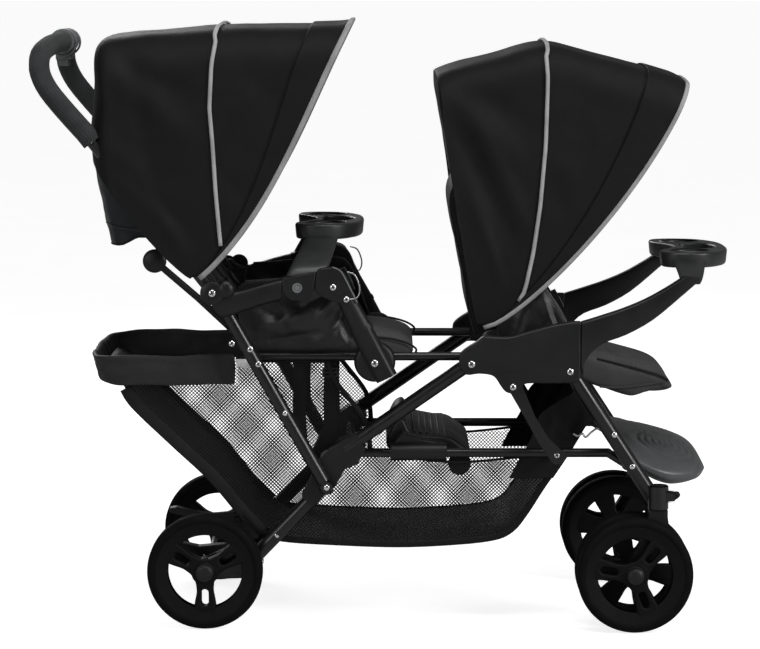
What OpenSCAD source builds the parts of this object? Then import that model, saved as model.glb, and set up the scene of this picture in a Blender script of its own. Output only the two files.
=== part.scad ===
// Tandem double stroller, right side at -Y, front at +X, up +Z, origin on the
// ground at mid length and mid width. All lengths in millimetres.

/* [Wheels] */
// Radius of all the tyres
wheel_r = 101.6; // [98:0.1:105]
// Width of each rear tyre
rear_tyre_w = 38; // [32:1:40]
// Width of each front tyre
front_tyre_w = 29; // [24:1:30]
// Half track of the rear wheels
rear_track = 224; // [222:1:228]
// Half track of a front caster, at its swivel pin
caster_track = 231; // [230:1:233]
// Distance the front axle trails behind the swivel pin
caster_trail = 42; // [38:1:46]

/* [Frame tubes] */
// Outside diameter of the handle tube
handle_d = 22; // [20:1:22]
// Outside diameter of the foam grip
grip_d = 36; // [32:1:38]
// Outside diameter of the diagonal tubes and rear legs
main_d = 22; // [20:1:22]
// Outside diameter of the front legs
front_leg_d = 23; // [20:1:23]
// Outside diameter of the upper seat rails
rail_d = 15; // [12:1:15]
// Outside diameter of the lower side bars
bar_d = 16; // [14:1:16]
// Outside diameter of the rear posts
post_d = 20; // [18:1:20]

/* [Canopies] */
// Half width of both canopies over the fabric
canopy_w = 187; // [184:1:188]
// Thickness of the canopy fabric shell
canopy_t = 3; // [2.5:0.5:3]
// Gap between a canopy shell and the front band that slides over it
band_gap = 2; // [2:0.5:4]

/* [Trays] */
// Radius of the round cup wells in both child trays
cup_r = 34; // [32:0.5:36]
// Depth of the cup wells
cup_depth = 22; // [16:1:23]

/* [Seats] */
// Half width of the seat cushions
seat_w = 172; // [160:1:174]
// Half width of the two backrests
back_w = 162; // [150:1:165]

/* [Hidden] */
run = 0.06;                      // running clearance of a turning fit, radial
fit = 0.05;                      // clearance of a fixed socket, radial
axle_r = 5;                      // radius of both axles
$fn = 48;

rear_axle = [-316, 101.6];       // rear axle in the side view, x and z
swivel_x = 478;                  // x of both caster swivel pins
front_axle = [swivel_x - caster_trail, 101.6];
hub = [-299, 595];               // handle pivot at the rear armrest
rear_can = [-305, 606];          // pivot of the rear canopy bows
front_can = [204, 541];          // pivot of the front canopy bows
plate_rear = [150, 471];         // screw of the side plate over the diagonal
plate_front = [321, 458];        // screw of the side plate over the front leg
link_top = [222, 438];           // upper rivet of the front link
link_low = [301, 306];           // lower rivet of the front link
elbow = [-102, 253];             // rivet of the rear post on the elbow bracket
disc = [-18, 474];               // round joint at the foot of the armrest strut
handle_y = 236;
diag_y = 213;
leg_y = 190;                     // rear legs, rails and lower bars
front_leg_y = 222;

// ---- helpers -------------------------------------------------------------

function unit(v) = v / norm(v);

// Points of a smooth curve through the given points, n steps to each span.
function curve(p, n) = concat(
  [for (i = [0:len(p) - 2]) for (k = [0:n - 1])
    let (a = p[max(i - 1, 0)], b = p[i], c = p[i + 1], d = p[min(i + 2, len(p) - 1)], t = k / n)
    0.5 * (2 * b + (c - a) * t + (2 * a - 5 * b + 4 * c - d) * t * t
      + (3 * b - a - 3 * c + d) * t * t * t)],
  [p[len(p) - 1]]);

// Closed solid through rings of equal point count, capped at both ends.
module skin(rings) {
  m = len(rings[0]);
  n = len(rings);
  polyhedron(
    points = [for (r = rings) for (p = r) p],
    faces = concat(
      [for (i = [0:n - 2]) for (k = [0:m - 1])
        [i * m + k, i * m + (k + 1) % m, (i + 1) * m + (k + 1) % m]],
      [for (i = [0:n - 2]) for (k = [0:m - 1])
        [i * m + k, (i + 1) * m + (k + 1) % m, (i + 1) * m + k]],
      [[for (k = [m - 1:-1:0]) k]],
      [[for (k = [0:m - 1]) (n - 1) * m + k]]));
}

// Ring of a round section at point i of a path; ref stays square to the path.
function ring(path, i, r, ref, m) =
  let (t = unit(path[min(i + 1, len(path) - 1)] - path[max(i - 1, 0)]),
       b = unit(cross(t, ref)), a = cross(b, t))
  [for (k = [0:m - 1]) path[i] + r * (cos(360 * k / m) * a + sin(360 * k / m) * b)];

module bent_tube(path, r, ref, m = 24)
  skin([for (i = [0:len(path) - 1]) ring(path, i, r, ref, m)]);

// Straight round tube between two points.
module rod(a, b, r) {
  v = b - a;
  translate(a)
    rotate([0, acos(v[2] / norm(v)), atan2(v[1], v[0])])
      cylinder(h = norm(v), r = r);
}

// Flat piece cut to a side view outline, from y0 to y1.
module side(y0, y1)
  translate([0, y1, 0]) rotate([90, 0, 0]) linear_extrude(height = y1 - y0) children();

// Round boss or pin along Y at a side view point.
module pin(p, y0, y1, r)
  translate([p[0], y1, p[1]]) rotate([90, 0, 0]) cylinder(h = y1 - y0, r = r);

module dot(p, r) translate(p) circle(r = r, $fn = 32);

// Draws its child on the right side of the stroller (the child is the left one).
module right() mirror([0, 1, 0]) children();

// ---- wheels and casters ---------------------------------------------------

spoke_slot = [for (e = [[34, 90], [58, -90]]) for (k = [0:8])
  [e[0] + 6.5 * cos(e[1] + 22.5 * k), 6.5 * sin(e[1] + 22.5 * k)]];

// Wheel lying on its bore: tyre, rim and three wide spokes with slots.
module wheel(w, turn) {
  rim_r = wheel_r - 18;
  difference() {
    union() {
      rotate_extrude($fn = 96) difference() {
        translate([rim_r - 4, -w / 2]) square([22, w]);
        for (s = [-1, 1]) translate([wheel_r, s * w / 2]) rotate(45) square(10, center = true);
      }
      translate([0, 0, -w / 2 + 3]) difference() {
        cylinder(r = rim_r - 3, h = w - 6, $fn = 96);
        translate([0, 0, -1]) cylinder(r = rim_r - 12, h = w, $fn = 96);
      }
      cylinder(r = 17, h = w - 2, center = true);
      for (k = [0:2]) rotate(turn + 120 * k) translate([0, 0, -w / 2 + 5])
        linear_extrude(height = w - 12) difference() {
          polygon([[6, -11], [26, -15], [56, -25], [74, -32], [77, -16], [78, 0], [77, 16],
            [74, 32], [56, 25], [26, 15], [6, 11]]);
          polygon(spoke_slot);
        }
    }
    translate([0, 0, -w]) cylinder(r = axle_r + run, h = 2 * w);
  }
}

module placed_wheel(p, y, w, turn) color([0.1, 0.1, 0.1])
  translate([p[0], y, p[1]]) rotate([90, 0, 0]) wheel(w, turn);

module rear_wheel_right() placed_wheel(rear_axle, -rear_track, rear_tyre_w, 30);
module rear_wheel_left() placed_wheel(rear_axle, rear_track, rear_tyre_w, 30);

outer_y = caster_track + 16.5 + front_tyre_w / 2;
inner_y = caster_track - 16.5 - front_tyre_w / 2;
module front_wheel_right_outer() placed_wheel(front_axle, -outer_y, front_tyre_w, 50);
module front_wheel_right_inner() placed_wheel(front_axle, -inner_y, front_tyre_w, 15);
module front_wheel_left_outer() placed_wheel(front_axle, outer_y, front_tyre_w, 50);
module front_wheel_left_inner() placed_wheel(front_axle, inner_y, front_tyre_w, 15);

// Caster: fork blade between the two wheels, its axle and the swivel stem.
module caster_left() color([0.13, 0.13, 0.14]) {
  difference() {
    side(caster_track - 12, caster_track + 12)
      polygon([[front_axle[0] - 14, 92], [front_axle[0] + 6, 86], [swivel_x - 8, 140],
        [swivel_x + 16, 176], [swivel_x + 16, 212], [swivel_x - 16, 212], [swivel_x - 22, 170],
        [front_axle[0] - 16, 112]]);
    pin(front_axle, caster_track - 20, caster_track + 20, axle_r - 0.5);
  }
  pin(front_axle, caster_track - 16.5 - front_tyre_w - 2, caster_track + 16.5 + front_tyre_w + 2, axle_r);
  translate([swivel_x, caster_track, 205]) cylinder(r = 8, h = 40);
  for (s = [-1, 1]) pin(front_axle, caster_track + s * (19 + front_tyre_w) - 2.2,
    caster_track + s * (19 + front_tyre_w) + 2.2, 13);
}
module caster_right() right() caster_left();

// Swivel lock lever in front of each caster socket.
lock_p = [501, 236];
module caster_lock_left() color([0.2, 0.2, 0.2]) difference() {
  side(caster_track - 8, caster_track + 8) polygon([[lock_p[0] - 5, lock_p[1] - 5],
    [lock_p[0] + 6, lock_p[1] - 6], [lock_p[0] + 24, lock_p[1] + 4], [lock_p[0] + 25, lock_p[1] + 9],
    [lock_p[0] + 4, lock_p[1] + 6], [lock_p[0] - 4, lock_p[1] + 5]]);
  pin(lock_p, caster_track - 20, caster_track + 20, 3 + run);
}
module caster_lock_right() right() caster_lock_left();

// ---- frame ----------------------------------------------------------------

// Rear leg tube with its moulded foot; the foot carries the axle and the pedal pin.
pedal_p = [-276, 128];
module rear_leg_left() color([0.12, 0.12, 0.12]) {
  difference() {
    union() {
      rod([-96, leg_y, 259], [-238, leg_y, 112], main_d / 2);
      side(leg_y - 12, leg_y + 12) polygon([[-330, 90], [-322, 84], [-240, 86], [-216, 112],
        [-232, 138], [-262, 142], [-318, 120], [-332, 112]]);
    }
    pin(rear_axle, 150, 230, axle_r + fit);
  }
  pin(pedal_p, leg_y - 42, leg_y - 11.5, 4);
}
module rear_leg_right() right() rear_leg_left();

module rear_axle() color([0.5, 0.5, 0.52]) {
  translate([rear_axle[0], 248, rear_axle[1]]) rotate([90, 0, 0]) cylinder(r = axle_r, h = 496);
  for (s = [-1, 1]) pin(rear_axle, s * 246.2 - 2.2, s * 246.2 + 2.2, 14);
}

// Brake pedal on the inside of each rear foot.
module brake_pedal_left() color([0.16, 0.16, 0.17]) {
  difference() {
    side(leg_y - 38, leg_y - 14) polygon([[-268, 118], [-268, 136], [-284, 140], [-330, 136],
      [-392, 150], [-404, 148], [-404, 140], [-332, 122], [-284, 117]]);
    pin(pedal_p, 100, 200, 4 + run);
  }
}
module brake_pedal_right() right() brake_pedal_left();

module diagonal_tube_left() color([0.12, 0.12, 0.12])
  rod([-72, diag_y, 315], [154, diag_y, 472], main_d / 2);
module diagonal_tube_right() right() diagonal_tube_left();

// Elbow bracket: sockets for the diagonal tube, the rear leg, the lower bar and
// the cross tube, with the rivet boss of the rear post outside.
module elbow_bracket_left() color([0.15, 0.15, 0.16]) difference() {
  union() {
    side(leg_y - 13, diag_y + 12) polygon([[-48, 291], [-34, 318], [-50, 344], [-74, 334],
      [-112, 304], [-128, 270], [-146, 234], [-128, 214], [-104, 240], [-88, 250], [-70, 282]]);
    pin(elbow, diag_y, handle_y - 10.1, 9);
    pin([-64, 306], leg_y - 26, leg_y, 12);
  }
  rod([-72, diag_y, 315], [154, diag_y, 472], main_d / 2 + fit);
  rod([-96, leg_y, 259], [-238, leg_y, 112], main_d / 2 + fit);
  rod([-58, leg_y, 306], [30, leg_y, 306], bar_d / 2 + fit);
  pin([-64, 306], 100, leg_y - 16, 8 + fit);
}
module elbow_bracket_right() right() elbow_bracket_left();

module cross_tube() color([0.12, 0.12, 0.12])
  translate([-64, leg_y - 17, 306]) rotate([90, 0, 0]) cylinder(r = 8, h = 2 * (leg_y - 17));

// Rear post: from under the handle pivot to the elbow bracket.
module rear_post_left() color([0.12, 0.12, 0.12]) {
  rod([-277, handle_y, 563], [elbow[0] - 5, handle_y, elbow[1] + 9], post_d / 2);
  pin(elbow, handle_y - 10, handle_y + 10, 11);
}
module rear_post_right() right() rear_post_left();

// Upper seat rail with its spacer to the rear post.
module seat_rail_left() color([0.12, 0.12, 0.12]) {
  rod([-226, leg_y, 477], [158, leg_y, 477], rail_d / 2);
  pin([-220, 473], leg_y, handle_y - 10.4, 6);
}
module seat_rail_right() right() seat_rail_left();

// Lower side bar, dipping at its front end to the front leg.
module lower_bar_left() color([0.12, 0.12, 0.12]) {
  rod([-58, leg_y, 306], [392, leg_y, 306], bar_d / 2);
  rod([392, leg_y, 306], [424, leg_y, 286], bar_d / 2 - 0.3);
  translate([392, leg_y, 306]) sphere(r = bar_d / 2 + 0.1);
  pin([424, 287], leg_y - 8, front_leg_y - front_leg_d / 2 - 0.1, 9);
}
module lower_bar_right() right() lower_bar_left();

// Flat front link with an eye at each end and a rivet to the lower bar.
module front_link_left() color([0.16, 0.16, 0.16]) {
  side(231.4, 235.4) difference() {
    union() {
      dot(link_top, 13);
      dot(link_low, 14);
      polygon([[link_top[0] - 12, link_top[1] - 6], [link_top[0] + 12, link_top[1] + 4],
        [262, 376], [284, 340], [link_low[0] + 13, link_low[1] + 5],
        [link_low[0] - 11, link_low[1] - 8], [268, 330], [246, 370]]);
    }
  }
  pin(link_low, leg_y + bar_d / 2 + 0.1, 231.6, 6);
}
module front_link_right() right() front_link_left();

// Side plate of the front seat, with bosses to the tubes behind it.
module side_plate_left() color([0.17, 0.17, 0.18]) {
  side(236, 256) polygon([[128, 479], [136, 495], [160, 511], [170, 523], [178, 518], [216, 518],
    [245, 528], [341, 542], [342, 448], [323, 438], [245, 438], [234, 426], [223, 423],
    [211, 425], [198, 436], [188, 450], [162, 455], [142, 452], [131, 462]]);
  pin(plate_rear, diag_y + main_d / 2 + 0.1, 236.2, 10);
  pin(plate_front, front_leg_y + front_leg_d / 2 + 0.1, 236.2, 10);
  for (p = [plate_rear, plate_front, link_top]) pin(p, 255, 258, 6);
}
module side_plate_right() right() side_plate_left();

// Front arm, sweeping up from the side plate to the tray foot.
module front_arm_left() color([0.17, 0.17, 0.18]) {
  difference() {
    side(237, 258) polygon(concat([[343, 541]],
      curve([[350, 550], [401, 570], [455, 591], [490, 607], [507, 618], [528, 618]], 4),
      [[548, 618]],
      curve([[552, 612], [543, 600], [510, 576], [467, 549], [422, 526], [386, 509], [350, 472]], 4),
      [[343, 452]]));
    translate([528, 243, 606]) cube([20, 10, 20]);
  }
}
module front_arm_right() right() front_arm_left();

// Front leg: tube, caster socket and the ears of the swivel lock.
module front_leg_left() color([0.12, 0.12, 0.12]) difference() {
  union() {
    rod([314, front_leg_y, 470], [472, front_leg_y, 228], front_leg_d / 2);
    translate([swivel_x, caster_track, 213.5]) cylinder(r = 16, h = 40);
    for (y = [caster_track - 12, caster_track + 8.4])
      side(y, y + 3.6) polygon([[480, 226], [506, 229], [507, 242], [480, 246]]);
    pin(lock_p, caster_track - 10, caster_track + 10, 3);
  }
  translate([swivel_x, caster_track, 200]) cylinder(r = 8 + run, h = 46);
}
module front_leg_right() right() front_leg_left();

// Rear armrest: hub cheek, arm, tray socket, strut and the disc on the seat rail.
module armrest_left() color([0.18, 0.18, 0.19]) {
  side(249, 263) union() {
    dot(hub, 24);
    polygon([[-318, 606], [-286, 617], [-262, 600], [-236, 602], [-236, 572], [-268, 552],
      [-290, 566]]);
  }
  difference() {
    side(232, 258) polygon([[-246, 598], [-182, 617], [-172, 626], [-98, 640], [-78, 636],
      [-62, 628], [-56, 604], [-38, 560], [0, 500], [2, 468], [-16, 446], [-40, 470],
      [-66, 548], [-80, 584], [-118, 580], [-180, 582], [-246, 570]]);
    pin([-152, 604], 252, 262, 8.1);
    translate([-158, 238, 612]) cube([36, 14, 30]);
  }
  side(230, 260) dot(disc, 33);
  pin(disc, leg_y + rail_d / 2 + 0.1, 231, 14);
  pin(hub, 224, 250, 4);
}
module armrest_right() right() armrest_left();

module tray_button_left() color([0.3, 0.3, 0.31]) pin([-152, 604], 254.5, 259.5, 8);
module tray_button_right() right() tray_button_left();

// ---- footrests --------------------------------------------------------------

module front_footrest() color([0.2, 0.2, 0.21]) {
  intersection() {
    side(-208, 208) polygon([[408, 352], [430, 349], [498, 326], [546, 305], [568, 286],
      [574, 270], [558, 252], [507, 238], [468, 246], [440, 276]]);
    translate([0, 0, 220]) linear_extrude(height = 160) hull() {
      translate([400, -206]) square([20, 412]);
      for (s = [-1, 1]) translate([500, s * 108]) circle(r = 76, $fn = 64);
    }
  }
  for (k = [1:4]) translate([500, 0, 314.2 - 2.4 * k]) rotate([0, 23, 0])
    difference() {
      scale([1, 1.7, 1]) cylinder(r = 12 * k, h = 12);
      translate([0, 0, -1]) scale([1, 1.7, 1]) cylinder(r = 12 * k - 4, h = 14);
    }
}

module rear_footrest() color([0.15, 0.15, 0.16]) difference() {
  union() {
    side(-150, 150) polygon([[4, 318], [20, 356], [34, 358], [44, 330], [112, 326], [128, 316],
      [150, 300], [146, 290], [112, 294], [20, 296], [6, 302]]);
    side(-leg_y - 13, leg_y + 13) polygon([[24, 292], [24, 320], [92, 320], [92, 292]]);
  }
  for (s = [-1, 1]) rod([0, s * leg_y, 306], [120, s * leg_y, 306], bar_d / 2 + fit);
}

// ---- handle -----------------------------------------------------------------

handle_leg = [[-551, handle_y, 908], [-580, handle_y, 944], [-594, handle_y - 3, 972],
  [-597, handle_y - 16, 994], [-595, 196, 1008], [-588, 140, 1018], [-579, 84, 1023],
  [-576, 44, 1024]];
handle_low = [[-291.5, handle_y, 585.5], [-412, handle_y, 737.5], [-517, handle_y, 870]];
function flip(p) = [for (i = [len(p) - 1:-1:0]) [p[i][0], -p[i][1], p[i][2]]];
grip_path = concat([[-505, handle_y, 854.8]], curve(concat([handle_low[2]], handle_leg), 3));
tube_half = concat(handle_low, curve(concat([handle_low[2]], handle_leg), 3));
handle_ref = unit([0.785, 0, 0.62]);

module handle_tube() color([0.1, 0.1, 0.1]) difference() {
  bent_tube(concat([for (i = [0:len(tube_half) - 1]) if (i != 2) tube_half[i]],
    flip([for (i = [0:len(tube_half) - 1]) if (i != 2) tube_half[i]])),
    handle_d / 2, handle_ref, 18);
  pin(hub, -260, 260, 4 + run);
}

// Foam grip: one sleeve on each side of the console.
module handle_grip() color([0.19, 0.2, 0.21]) {
  p = [for (q = grip_path) if (q[1] > 43) q];
  sleeve(p);
  sleeve(flip(p));
}

// Sleeve wall between two radii, closed with flat rings at both ends.
module sleeve(path, m = 18) {
  n = len(path);
  po = [for (i = [0:n - 1]) each ring(path, i, grip_d / 2, handle_ref, m)];
  pi = [for (i = [0:n - 1]) each ring(path, i, handle_d / 2 + 0.4, handle_ref, m)];
  o = n * m;
  polyhedron(points = concat(po, pi), faces = concat(
    [for (i = [0:n - 2]) for (k = [0:m - 1]) [i * m + k, i * m + (k + 1) % m, (i + 1) * m + (k + 1) % m]],
    [for (i = [0:n - 2]) for (k = [0:m - 1]) [i * m + k, (i + 1) * m + (k + 1) % m, (i + 1) * m + k]],
    [for (i = [0:n - 2]) for (k = [0:m - 1]) [o + i * m + k, o + (i + 1) * m + (k + 1) % m, o + i * m + (k + 1) % m]],
    [for (i = [0:n - 2]) for (k = [0:m - 1]) [o + i * m + k, o + (i + 1) * m + k, o + (i + 1) * m + (k + 1) % m]],
    [for (k = [0:m - 1]) [k, o + k, o + (k + 1) % m]], [for (k = [0:m - 1]) [k, o + (k + 1) % m, (k + 1) % m]],
    [for (k = [0:m - 1]) [(n - 1) * m + k, o + (n - 1) * m + (k + 1) % m, o + (n - 1) * m + k]],
    [for (k = [0:m - 1]) [(n - 1) * m + k, (n - 1) * m + (k + 1) % m, o + (n - 1) * m + (k + 1) % m]]));
}

// Console on the crossbar with a pocket for the fold trigger.
bar_c = [-576, 1024];
module handle_console() color([0.4, 0.42, 0.42]) difference() {
  union() {
    pin(bar_c, -42, 42, 22);
    side(-26, 26) polygon([[bar_c[0] - 14, bar_c[1] - 14], [bar_c[0] - 13, bar_c[1] - 32],
      [bar_c[0] + 15, bar_c[1] - 32], [bar_c[0] + 20, bar_c[1] - 6]]);
  }
  pin(bar_c, -60, 60, handle_d / 2 + 0.1);
  translate([bar_c[0] - 9.2, -18.2, bar_c[1] - 50]) cube([18.4, 36.4, 36]);
}
module fold_trigger() color([0.45, 0.47, 0.47])
  translate([bar_c[0] - 9, -18, bar_c[1] - 44]) cube([18, 36, 23]);

// ---- soft goods ---------------------------------------------------------------

// One arched rib: a bulged line from base to tip in the side view, then across.
function rib(b, t, bulge, w, grow, m = 5) =
  let (d = unit(t - b), n = [d[1], -d[0]], l = norm(t - b) + grow, rc = 52)
  let (at = function (u) b + d * u + n * bulge * 4 * (u / l) * (1 - u / l))
  concat(
    [for (k = [0:m]) let (p = at(8 + (l - rc - 8) * k / m)) [p[0], w + grow, p[1]]],
    [for (k = [1:m]) let (a = 90 * k / m, p = at(l - rc + rc * sin(a)))
      [p[0], w + grow - rc * (1 - cos(a)), p[1]]],
    [let (p = at(l)) [p[0] + d[0] * 3, 0, p[1] + d[1] * 3]]);
function full_rib(r) = concat(r, [for (i = [len(r) - 2:-1:0]) [r[i][0], -r[i][1], r[i][2]]]);
function shell_ring(b, t, bulge, w, g0, g1) =
  let (o = full_rib(rib(b, t, bulge, w, g1)), q = full_rib(rib(b, t, bulge, w, g0)))
  concat(o, [for (i = [len(q) - 1:-1:0]) q[i]]);

// Canopy shell through its ribs: pivot, tips from back to front, their bulges.
module canopy(piv, tips, bulges, g0, g1) {
  rings = [for (i = [len(tips) - 1:-1:0]) let (t = tips[i], b = piv + unit(t - piv) * 14)
    shell_ring(b, t, bulges[i], canopy_w, g0, g1)];
  m = len(rings[0]);
  h = m / 2;
  e = (len(rings) - 1) * m;
  polyhedron(points = [for (r = rings) for (p = r) p], faces = concat(
    [for (i = [0:len(rings) - 2]) for (k = [0:m - 1])
      [i * m + k, i * m + (k + 1) % m, (i + 1) * m + (k + 1) % m]],
    [for (i = [0:len(rings) - 2]) for (k = [0:m - 1])
      [i * m + k, (i + 1) * m + (k + 1) % m, (i + 1) * m + k]],
    [for (k = [0:h - 2]) [k, m - 2 - k, k + 1]], [for (k = [0:h - 2]) [k, m - 1 - k, m - 2 - k]],
    [for (k = [0:h - 2]) [e + k, e + k + 1, e + m - 2 - k]],
    [for (k = [0:h - 2]) [e + k, e + m - 2 - k, e + m - 1 - k]]));
}

// Disc at the foot of a canopy, its pivot pin and the bracket out to the frame.
module canopy_mount(piv, foot, reach) for (s = [-1, 1]) mirror([0, s < 0 ? 1 : 0, 0]) {
  pin(piv, canopy_w - 7, canopy_w - 1.4, 32);
  pin(piv, canopy_w - 3, canopy_w + 9, 6);
  side(canopy_w + 6.4, canopy_w + 10) hull() { dot(piv, 11); dot(foot, 9); }
  pin(foot, canopy_w + 9, reach, 7);
}
// Disc at the foot of a canopy band, turning on that pin.
module band_with_eye(piv) difference() {
  union() {
    children();
    for (s = [-1, 1]) pin(piv, s * (canopy_w + 2.4) - 1.2, s * (canopy_w + 2.4) + 1.2, 30);
  }
  pin(piv, -300, 300, 6 + run);
}

rear_tips = [[-508, 760], [-514, 846], [-508, 930], [-506, 992], [-480, 1032],
  [-386, 1041], [-288, 1048], [-200, 1049], [-112, 1051]];
rear_bulges = [0, -2, -6, -10, -14, -16, -17, 0, 18];
rear_band_tips = [[-116, 1050], [-90, 1051], [-64, 1052]];
module rear_canopy() color([0.09, 0.09, 0.09]) {
  canopy(rear_can, rear_tips, rear_bulges, -canopy_t, 0);
  canopy_mount(rear_can, [-340, 647], handle_y - handle_d / 2 - 0.1);
}
module rear_canopy_band() color([0.11, 0.11, 0.11]) band_with_eye(rear_can)
  canopy(rear_can, rear_band_tips, [18, 22, 24], band_gap, band_gap + canopy_t);

front_tips = [[121, 788], [101, 880], [89, 954], [101, 974], [190, 999], [278, 1021],
  [372, 1000], [462, 978]];
front_bulges = [4, 8, 12, 14, 18, 21, 32, 40];
front_band_tips = [[458, 977], [484, 971], [500, 966], [514, 952]];
module front_canopy() color([0.09, 0.09, 0.09]) {
  canopy(front_can, front_tips, front_bulges, -canopy_t, 0);
  canopy_mount(front_can, [204, 506], 235.9);
}
module front_canopy_band() color([0.11, 0.11, 0.11]) band_with_eye(front_can)
  canopy(front_can, front_band_tips, [40, 42, 43, 43], band_gap, band_gap + canopy_t);

// Basket: open tub with a raised rear rim.
module basket_outline() polygon([[-517, 478], [-503, 455], [-462, 437], [-398, 363],
  [-342, 310], [-302, 263], [-232, 196], [-175, 152], [-96, 145], [7, 139], [108, 143], [185, 150],
  [223, 164], [249, 197], [288, 268], [348, 352], [344, 410], [300, 410], [262, 300],
  [225, 288], [100, 280], [-25, 288], [-120, 290], [-226, 478]]);
module basket_inner() polygon([[-560, 500], [-511, 478], [-499, 459], [-459, 440.5], [-395, 366],
  [-339, 313], [-300, 266], [-230, 199], [-174, 155.5], [-96, 148.5], [7, 142.5], [108, 146.5],
  [184, 153.5], [220, 166.5], [246, 199], [285, 270], [344, 353], [340, 430], [305, 430],
  [266, 297], [270, 400], [200, 600], [-100, 600], [-300, 600]]);
module basket() color([0.12, 0.12, 0.12]) difference() {
  union() {
    side(-174, 174) basket_outline();
    intersection() {
      side(-212, 212) basket_outline();
      translate([-600, -300, 330]) cube([350, 600, 200]);
    }
  }
  side(-171, 171) basket_inner();
  intersection() {
    side(-209, 209) basket_inner();
    translate([-600, -300, 333]) cube([347, 600, 400]);
  }
}

// Rear seat: cushion with a rolled front edge and two side walls.
module rear_seat() color([0.13, 0.13, 0.13]) {
  side(-seat_w, seat_w) polygon([[-236, 492], [-236, 520], [-190, 522], [-120, 530], [-50, 546],
    [-20, 546], [10, 541], [40, 531], [50, 520], [54, 500], [52, 480], [30, 476], [-20, 484],
    [-200, 486]]);
  for (s = [-1, 1]) side(s * (seat_w + 4.5) - 5.5, s * (seat_w + 4.5) + 5.5)
    polygon([[-232, 488], [-244, 600], [-222, 614], [-150, 616], [-84, 618], [-62, 606], [-28, 560],
      [2, 506], [-10, 488]]);
}

// Rear backrest, its frame bars and the round stops behind it.
recline_rear = [-254, 524];
module rear_seat_back() color([0.12, 0.12, 0.12]) {
  side(-back_w, back_w) polygon([[-246, 526], [-262, 514], [-300, 556], [-420, 690], [-462, 678],
    [-478, 674], [-498, 706], [-498, 736], [-493, 752], [-492, 800], [-486, 836], [-470, 840],
    [-458, 800], [-262, 548]]);
  pin(recline_rear, -back_w - 6, back_w + 6, 9);
  for (s = [-1, 1]) {
    rod([-268, s * 150, 508], [-400, s * 150, 636], 6);
    pin([-408, 640], s * 150 - 8, s * 150 + 8, 20);
  }
}

// Front seat cushion and the calf pad that hangs from its front edge.
module front_seat() color([0.13, 0.13, 0.13])
  side(-seat_w, seat_w) polygon([[184, 470], [182, 498], [230, 500], [340, 506], [388, 504],
    [420, 492], [468, 470], [494, 452], [508, 434], [506, 424], [470, 414], [436, 402],
    [404, 412], [380, 416], [360, 430], [330, 448], [230, 462]]);

recline_front = [166, 520];
module front_seat_back() color([0.12, 0.12, 0.12]) {
  pin(recline_front, -back_w - 6, back_w + 6, 9);
  side(-back_w, back_w) polygon([[178, 522], [160, 506], [146, 552], [140, 596], [130, 650],
    [119, 704], [112, 750], [122, 776], [142, 776], [152, 740], [170, 640], [182, 560]]);
}

// Harness buckle and its release button.
module buckle(p, lean) translate([p[0], 0, p[1]]) rotate([0, lean, 0]) difference() {
  union() {
    translate([-7, -19, 0]) cube([14, 38, 46]);
    translate([-2, -12, -26]) cube([4, 24, 28]);
  }
  translate([1, -9.2, 12]) cube([8, 18.4, 20.4]);
}
module button(p, lean) translate([p[0], 0, p[1]]) rotate([0, lean, 0])
  translate([4.5, -9, 12.2]) cube([4, 18, 20]);
rear_buckle_p = [-60, 572];
front_buckle_p = [322, 531];
module rear_buckle() color([0.15, 0.15, 0.15]) buckle(rear_buckle_p, -25);
module rear_buckle_button() color([0.35, 0.35, 0.36]) button(rear_buckle_p, -25);
module front_buckle() color([0.15, 0.15, 0.15]) buckle(front_buckle_p, -25);
module front_buckle_button() color([0.35, 0.35, 0.36]) button(front_buckle_p, -25);

// ---- trays ----------------------------------------------------------------------

// Child tray: rounded plan with two cup wells and a shallow middle dish.
module tray_plate(x0, x1, top, h, well_x) difference() {
  translate([0, 0, top - h]) linear_extrude(height = h) difference() {
    hull() {
      for (s = [-1, 1]) {
        translate([x0 + 22, s * 112]) circle(r = 22, $fn = 48);
        translate([x1 - 52, s * 80]) circle(r = 52, $fn = 64);
        translate([(x0 + x1) / 2 - 6, s * 128]) circle(r = 30, $fn = 48);
      }
    }
    scale([0.42, 1]) translate([x0 / 0.42, 0]) circle(r = 74, $fn = 64);
  }
  for (s = [-1, 1]) translate([well_x, s * 100, top - cup_depth]) cylinder(r = cup_r, h = 40);
  translate([x1 - 52, 0, top - 9]) scale([1, 1.5, 1]) cylinder(r = 30, h = 20);
}

module rear_tray() color([0.2, 0.2, 0.21]) {
  tray_plate(-160, -38, 706, 26, -104);
  for (s = [-1, 1]) mirror([0, s < 0 ? 1 : 0, 0]) {
    side(146, 252) polygon([[-146, 684], [-136, 697], [-78, 697], [-74, 688], [-84, 682]]);
    side(232, 251.5) polygon([[-144, 692], [-82, 690], [-88, 670], [-108, 644], [-176, 632],
      [-160, 660], [-148, 676]]);
    translate([-157, 238.1, 613]) cube([34, 13.3, 30]);
  }
}

module front_tray() color([0.2, 0.2, 0.21]) {
  tray_plate(486, 615, 656, 26, 542);
  for (s = [-1, 1]) mirror([0, s < 0 ? 1 : 0, 0]) {
    side(146, 257) polygon([[512, 640], [518, 650], [572, 650], [580, 642], [570, 636], [520, 636]]);
    side(238, 256.5) polygon([[514, 646], [574, 646], [572, 630], [552, 618.6], [520, 618.6]]);
    translate([530, 243.1, 608]) cube([16, 9.8, 12]);
  }
}

// ---- output -----------------------------------------------------------------------

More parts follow.
